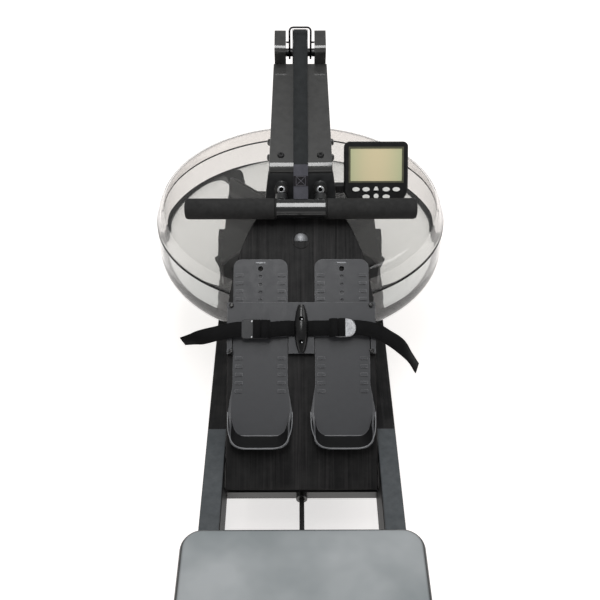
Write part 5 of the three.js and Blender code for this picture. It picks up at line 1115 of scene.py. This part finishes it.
def build_coil():
    """The turns wound on the drum, each layer's edges a little rounded."""
    top, foot = DRUM_RUN_Z + DRIVE_WIDTH / 2, DRUM_RUN_Z - DRIVE_WIDTH / 2
    ridge = DRIVE_THICKNESS * COIL_RIDGE_SHARE
    edge = [(COIL_INNER + (k + share) * DRIVE_THICKNESS, ridge * low)
            for k in range(COIL_LAYERS) for share, low in COIL_LAYER]
    edge.append((COIL_INNER + COIL_LAYERS * DRIVE_THICKNESS, ridge))
    profile = [(r, top - low) for r, low in edge] + [(r, foot + low) for r, low in edge[::-1]]
    points, faces = lathe(profile, COIL_SEGMENTS, TANK_CENTRE)
    return make_piece("drive_strap_coil", points, faces, DRIVE_WEBBING, "frame")


def build_drive_strap():
    stations = run_stations()
    run = band("drive_strap_run", stations, DRIVE_WIDTH, DRIVE_THICKNESS, DRIVE_WEBBING, "frame")
    start = stations[0][0]
    pull = math.radians(PULL_DEGREES)
    away = Vector((0, -math.cos(pull), -math.sin(pull)))
    free = (start - HANDLE_PLACE).dot(-away) - SLEEVE_REACH
    pulled = [(start + away * free * k / PULL_STEPS, X_AXIS.copy()) for k in range(PULL_STEPS + 1)]
    # The pulled stretch takes the lighter webbing: painted light
    stretch = band("drive_strap_pull", pulled, DRIVE_WIDTH, DRIVE_THICKNESS, LIT_PULL_WEBBING, None)
    patch, stitches = build_patch(start, away)
    coil = build_coil()
    for piece in (run, stretch, coil):
        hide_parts("drive_strap")
    for piece in (stretch, patch, stitches):
        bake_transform(piece)


build_drive_strap()


# Handle: a thin collar at each grip

COLLAR = ((0.0166, 0.0), (0.0172, 0.0006), (0.0172, 0.0030), (0.0166, 0.0036))
COLLAR_ASIDE = 0.0422
COLLAR_HALF_WIDTH = 0.0018
COLLAR_SEGMENTS = 48


def build_handle_trim():
    points, faces = lathe(COLLAR, COLLAR_SEGMENTS)
    turn_along_x = Matrix.Rotation(math.pi / 2, 4, "Y")
    for side, sign in SIDES:
        middle = HANDLE_PLACE + X_AXIS * (sign * COLLAR_ASIDE - COLLAR_HALF_WIDTH)
        make_piece(f"handle_collar_{side}", points, faces, RUBBER, "handle",
                   Matrix.Translation(middle) @ turn_along_x)


build_handle_trim()


# Monitor: frame round the display, and the middle key with its sloped sides

SCREEN_SIZE = (0.089, 0.056)
SCREEN_ABOVE = 0.014
BEZEL_WIDTH = 0.0032
BEZEL_PROUD = 0.0005
BEZEL_OVERLAP = 0.0006
BEZEL_SHARP_DEGREES = 30
# Outwards as a share of the bezel's width, and height over the case
BEZEL_SECTION = ((0, -0.0002), (0.1, BEZEL_PROUD), (0.9, BEZEL_PROUD), (1, 0.00005))
MIDDLE_KEY = ((-0.0042, -0.0020), (0.0042, -0.0020), (0.0034, 0.0012), (0.0014, 0.0046),
              (-0.0014, 0.0046), (-0.0034, 0.0012))
MIDDLE_KEY_ABOVE = -0.0275
# Height over the case, and share of the key's outline
MIDDLE_KEY_SECTION = ((-0.0030, 1.0), (0.0016, 1.0), (0.0022, 0.86))


def build_bezel():
    x, y = (size / 2 - BEZEL_OVERLAP for size in SCREEN_SIZE)
    rings = []
    for px, py in ((x, y), (-x, y), (-x, -y), (x, -y)):
        out_x, out_y = math.copysign(BEZEL_WIDTH, px), math.copysign(BEZEL_WIDTH, py)
        rings.append([Vector((px + out_x * share, SCREEN_ABOVE + py + out_y * share, z))
                      for share, z in BEZEL_SECTION])
    points, faces = skin_rings(rings, closed_row=True)
    make_piece("screen_bezel", points, faces, BEZEL_PLASTIC, "monitor", MONITOR, BEZEL_SHARP_DEGREES)


def build_middle_key():
    rings = [[Vector((px * share, MIDDLE_KEY_ABOVE + py * share, z)) for px, py in MIDDLE_KEY]
             for z, share in MIDDLE_KEY_SECTION]
    points, faces = skin_rings(rings)
    key = make_piece("middle_key_cap", points, faces, KEY_PLASTIC, "key_upper_3", MONITOR,
                     ROUND_SHARP_DEGREES)
    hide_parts("key_upper_3")


build_bezel()
build_middle_key()


# Seat: crowned cushion with a dark rolled edge

SEAT_CORNER = 0.031
SEAT_LEAST_CORNER_SHARE = 0.125
SEAT_FAR_SWELL = 0.009
SEAT_LOOP_STEPS = 10
SEAT_SIDE_SHARE = 0.3
SEAT_SHARP_DEGREES = 70
# Inset as a share of the side's width, and height as a share of the shoulder's
SEAT_SIDE = ((2.0, 0.0), (1.0, 0.0), (0.62, 0.05), (0.3, 0.17), (0.1, 0.38), (0.0, 0.55), (0.03, 0.68),
             (0.12, 0.78), (0.3, 0.89), (0.6, 0.96))
# Inwards over the crown, as a share of the way to the middle
SEAT_CROWN = (0.0, 0.06, 0.14, 0.26, 0.42, 0.6, 0.8, 0.99)


def seat_loop(size, middle, inset, z):
    """A level loop round the cushion, with round corners."""
    radius = max(SEAT_CORNER - inset, SEAT_CORNER * SEAT_LEAST_CORNER_SHARE)
    x, y = size.x / 2 - inset - radius, size.y / 2 - inset - radius
    loop = []
    for quarter, (cx, cy) in enumerate(((x, y), (-x, y), (-x, -y), (x, -y))):
        for i in range(SEAT_LOOP_STEPS + 1):
            angle = (quarter + i / SEAT_LOOP_STEPS) * math.pi / 2
            loop.append(Vector((middle.x + cx + radius * math.cos(angle),
                                middle.y + cy + radius * math.sin(angle), z)))
    return loop


def build_seat():
    low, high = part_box("seat_pad")
    high.y += SEAT_FAR_SWELL
    size, middle = high - low, (low + high) / 2
    side = SEAT_SIDE_SHARE * size.z
    crown = size.z / 6
    shoulder = size.z - crown
    rings = [seat_loop(size, middle, inset * side, low.z + rise * shoulder) for inset, rise in SEAT_SIDE]
    reach = size.y / 2 - side - SEAT_CORNER * SEAT_LEAST_CORNER_SHARE
    rings += [seat_loop(size, middle, side + share * reach,
                        low.z + shoulder + crown * (1 - (1 - share) ** 2)) for share in SEAT_CROWN]
    points, faces = skin_rings(rings)
    cushion = make_piece("seat_cushion", points, faces, SEAT_COVER, "seat", sharp=SEAT_SHARP_DEGREES)
    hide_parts("seat_pad")


build_seat()


# Floor, light and camera

FLOOR_SIZE = 40.0
FLOOR_GLOW_FROM = 2.0
FLOOR_GLOW_TO = 5.0
FLOOR_GLOW_NEAR = 0.6
FLOOR_GLOW_FAR = 1.0
SKY_LIGHT = 0.45
SKY_SEEN = 1.0
SKY_TURNED_BACK = 0.3
# Place, aim, power, width and height of each soft lamp
OVERHEAD_LIGHT = ((-0.12, 0.0, 3.2), (-0.12, 0.0, 0), 47, 0.62, 2.5)
SIDE_LIGHT = ((1.8, 0.9, 2.6), (0, 0.5, 0.4), 8, 1.2, 1.2)


def light_seen(tree):
    """1 for rays that reach the camera straight, by gloss or through glass, and 1 for those that a glossy
    surface has turned back."""
    path = add_node(tree, "ShaderNodeLightPath").outputs
    seen = calculate(tree, "MAXIMUM", path["Is Camera Ray"], path["Is Glossy Ray"])
    seen = calculate(tree, "MAXIMUM", seen, path["Is Transmission Ray"])
    return seen, calculate(tree, "GREATER_THAN", path["Glossy Depth"], 0.5)


def build_floor():
    half = FLOOR_SIZE / 2
    corners = [(-half, -half, 0), (half, -half, 0), (half, half, 0), (-half, half, 0)]
    floor = make_piece("floor", corners, [(0, 1, 2, 3)], None, None)
    material, tree, shader = start_material("floor_white", 0.9, 0.0)
    shader.inputs["Base Color"].default_value = paint("e9e4e1")
    shader.inputs["Emission Color"].default_value = (1, 0.99, 0.985, 1)
    away = add_node(tree, "ShaderNodeVectorMath", {"operation": "LENGTH"})
    feed(tree, away.inputs[0], object_place(tree))
    glow = remap(tree, away.outputs["Value"], FLOOR_GLOW_FROM, FLOOR_GLOW_TO,
                 FLOOR_GLOW_NEAR, FLOOR_GLOW_FAR)
    strength = calculate(tree, "MULTIPLY", light_seen(tree)[0], glow)
    tree.links.new(strength, shader.inputs["Emission Strength"])
    floor.data.materials.clear()
    floor.data.materials.append(material)


def build_world():
    world = bpy.data.worlds.new("studio")
    bpy.context.scene.world = world
    world.use_nodes = True
    tree = world.node_tree
    background = next(n for n in tree.nodes if n.type == "BACKGROUND")
    background.inputs["Color"].default_value = (1, 1, 1, 1)
    seen, turned_back = light_seen(tree)
    straight = remap(tree, seen, 0.0, 1.0, SKY_LIGHT, SKY_SEEN)
    strength = remap(tree, turned_back, 0.0, 1.0, straight, SKY_TURNED_BACK)
    tree.links.new(strength, background.inputs["Strength"])


def add_softbox(name, place, aim, power, width, height):
    lamp = bpy.data.lights.new(name, "AREA")
    lamp.shape = "RECTANGLE"
    lamp.size = width
    lamp.size_y = height
    lamp.energy = power
    holder = bpy.data.objects.new(name, lamp)
    holder.location = place
    holder.rotation_mode = "QUATERNION"
    holder.rotation_quaternion = (Vector(aim) - Vector(place)).to_track_quat("-Z", "Y")
    bpy.context.scene.collection.objects.link(holder)


CAMERA_PLACE = Vector((-0.0066, -0.732, 1.3676))
CAMERA_DOWN = 40.38
CAMERA_ASIDE = 0.23
CAMERA_LENS = 54.54
CAMERA_SENSOR = 36.0


def build_camera():
    down, aside = math.radians(CAMERA_DOWN), math.radians(CAMERA_ASIDE)
    ahead = Vector((math.sin(aside) * math.cos(down), math.cos(aside) * math.cos(down), -math.sin(down)))
    right = Vector((math.cos(aside), -math.sin(aside), 0))
    up = right.cross(ahead)
    camera = bpy.data.cameras.new("camera")
    camera.lens = CAMERA_LENS
    camera.sensor_width = CAMERA_SENSOR
    holder = bpy.data.objects.new("camera", camera)
    turned = Matrix((right, up, -ahead)).transposed().to_4x4()
    holder.matrix_world = Matrix.Translation(CAMERA_PLACE) @ turned
    bpy.context.scene.collection.objects.link(holder)
    bpy.context.scene.camera = holder


build_floor()
build_world()
add_softbox("overhead_light", *OVERHEAD_LIGHT)
add_softbox("side_light", *SIDE_LIGHT)
build_camera()
bpy.context.scene.view_settings.view_transform = "Standard"
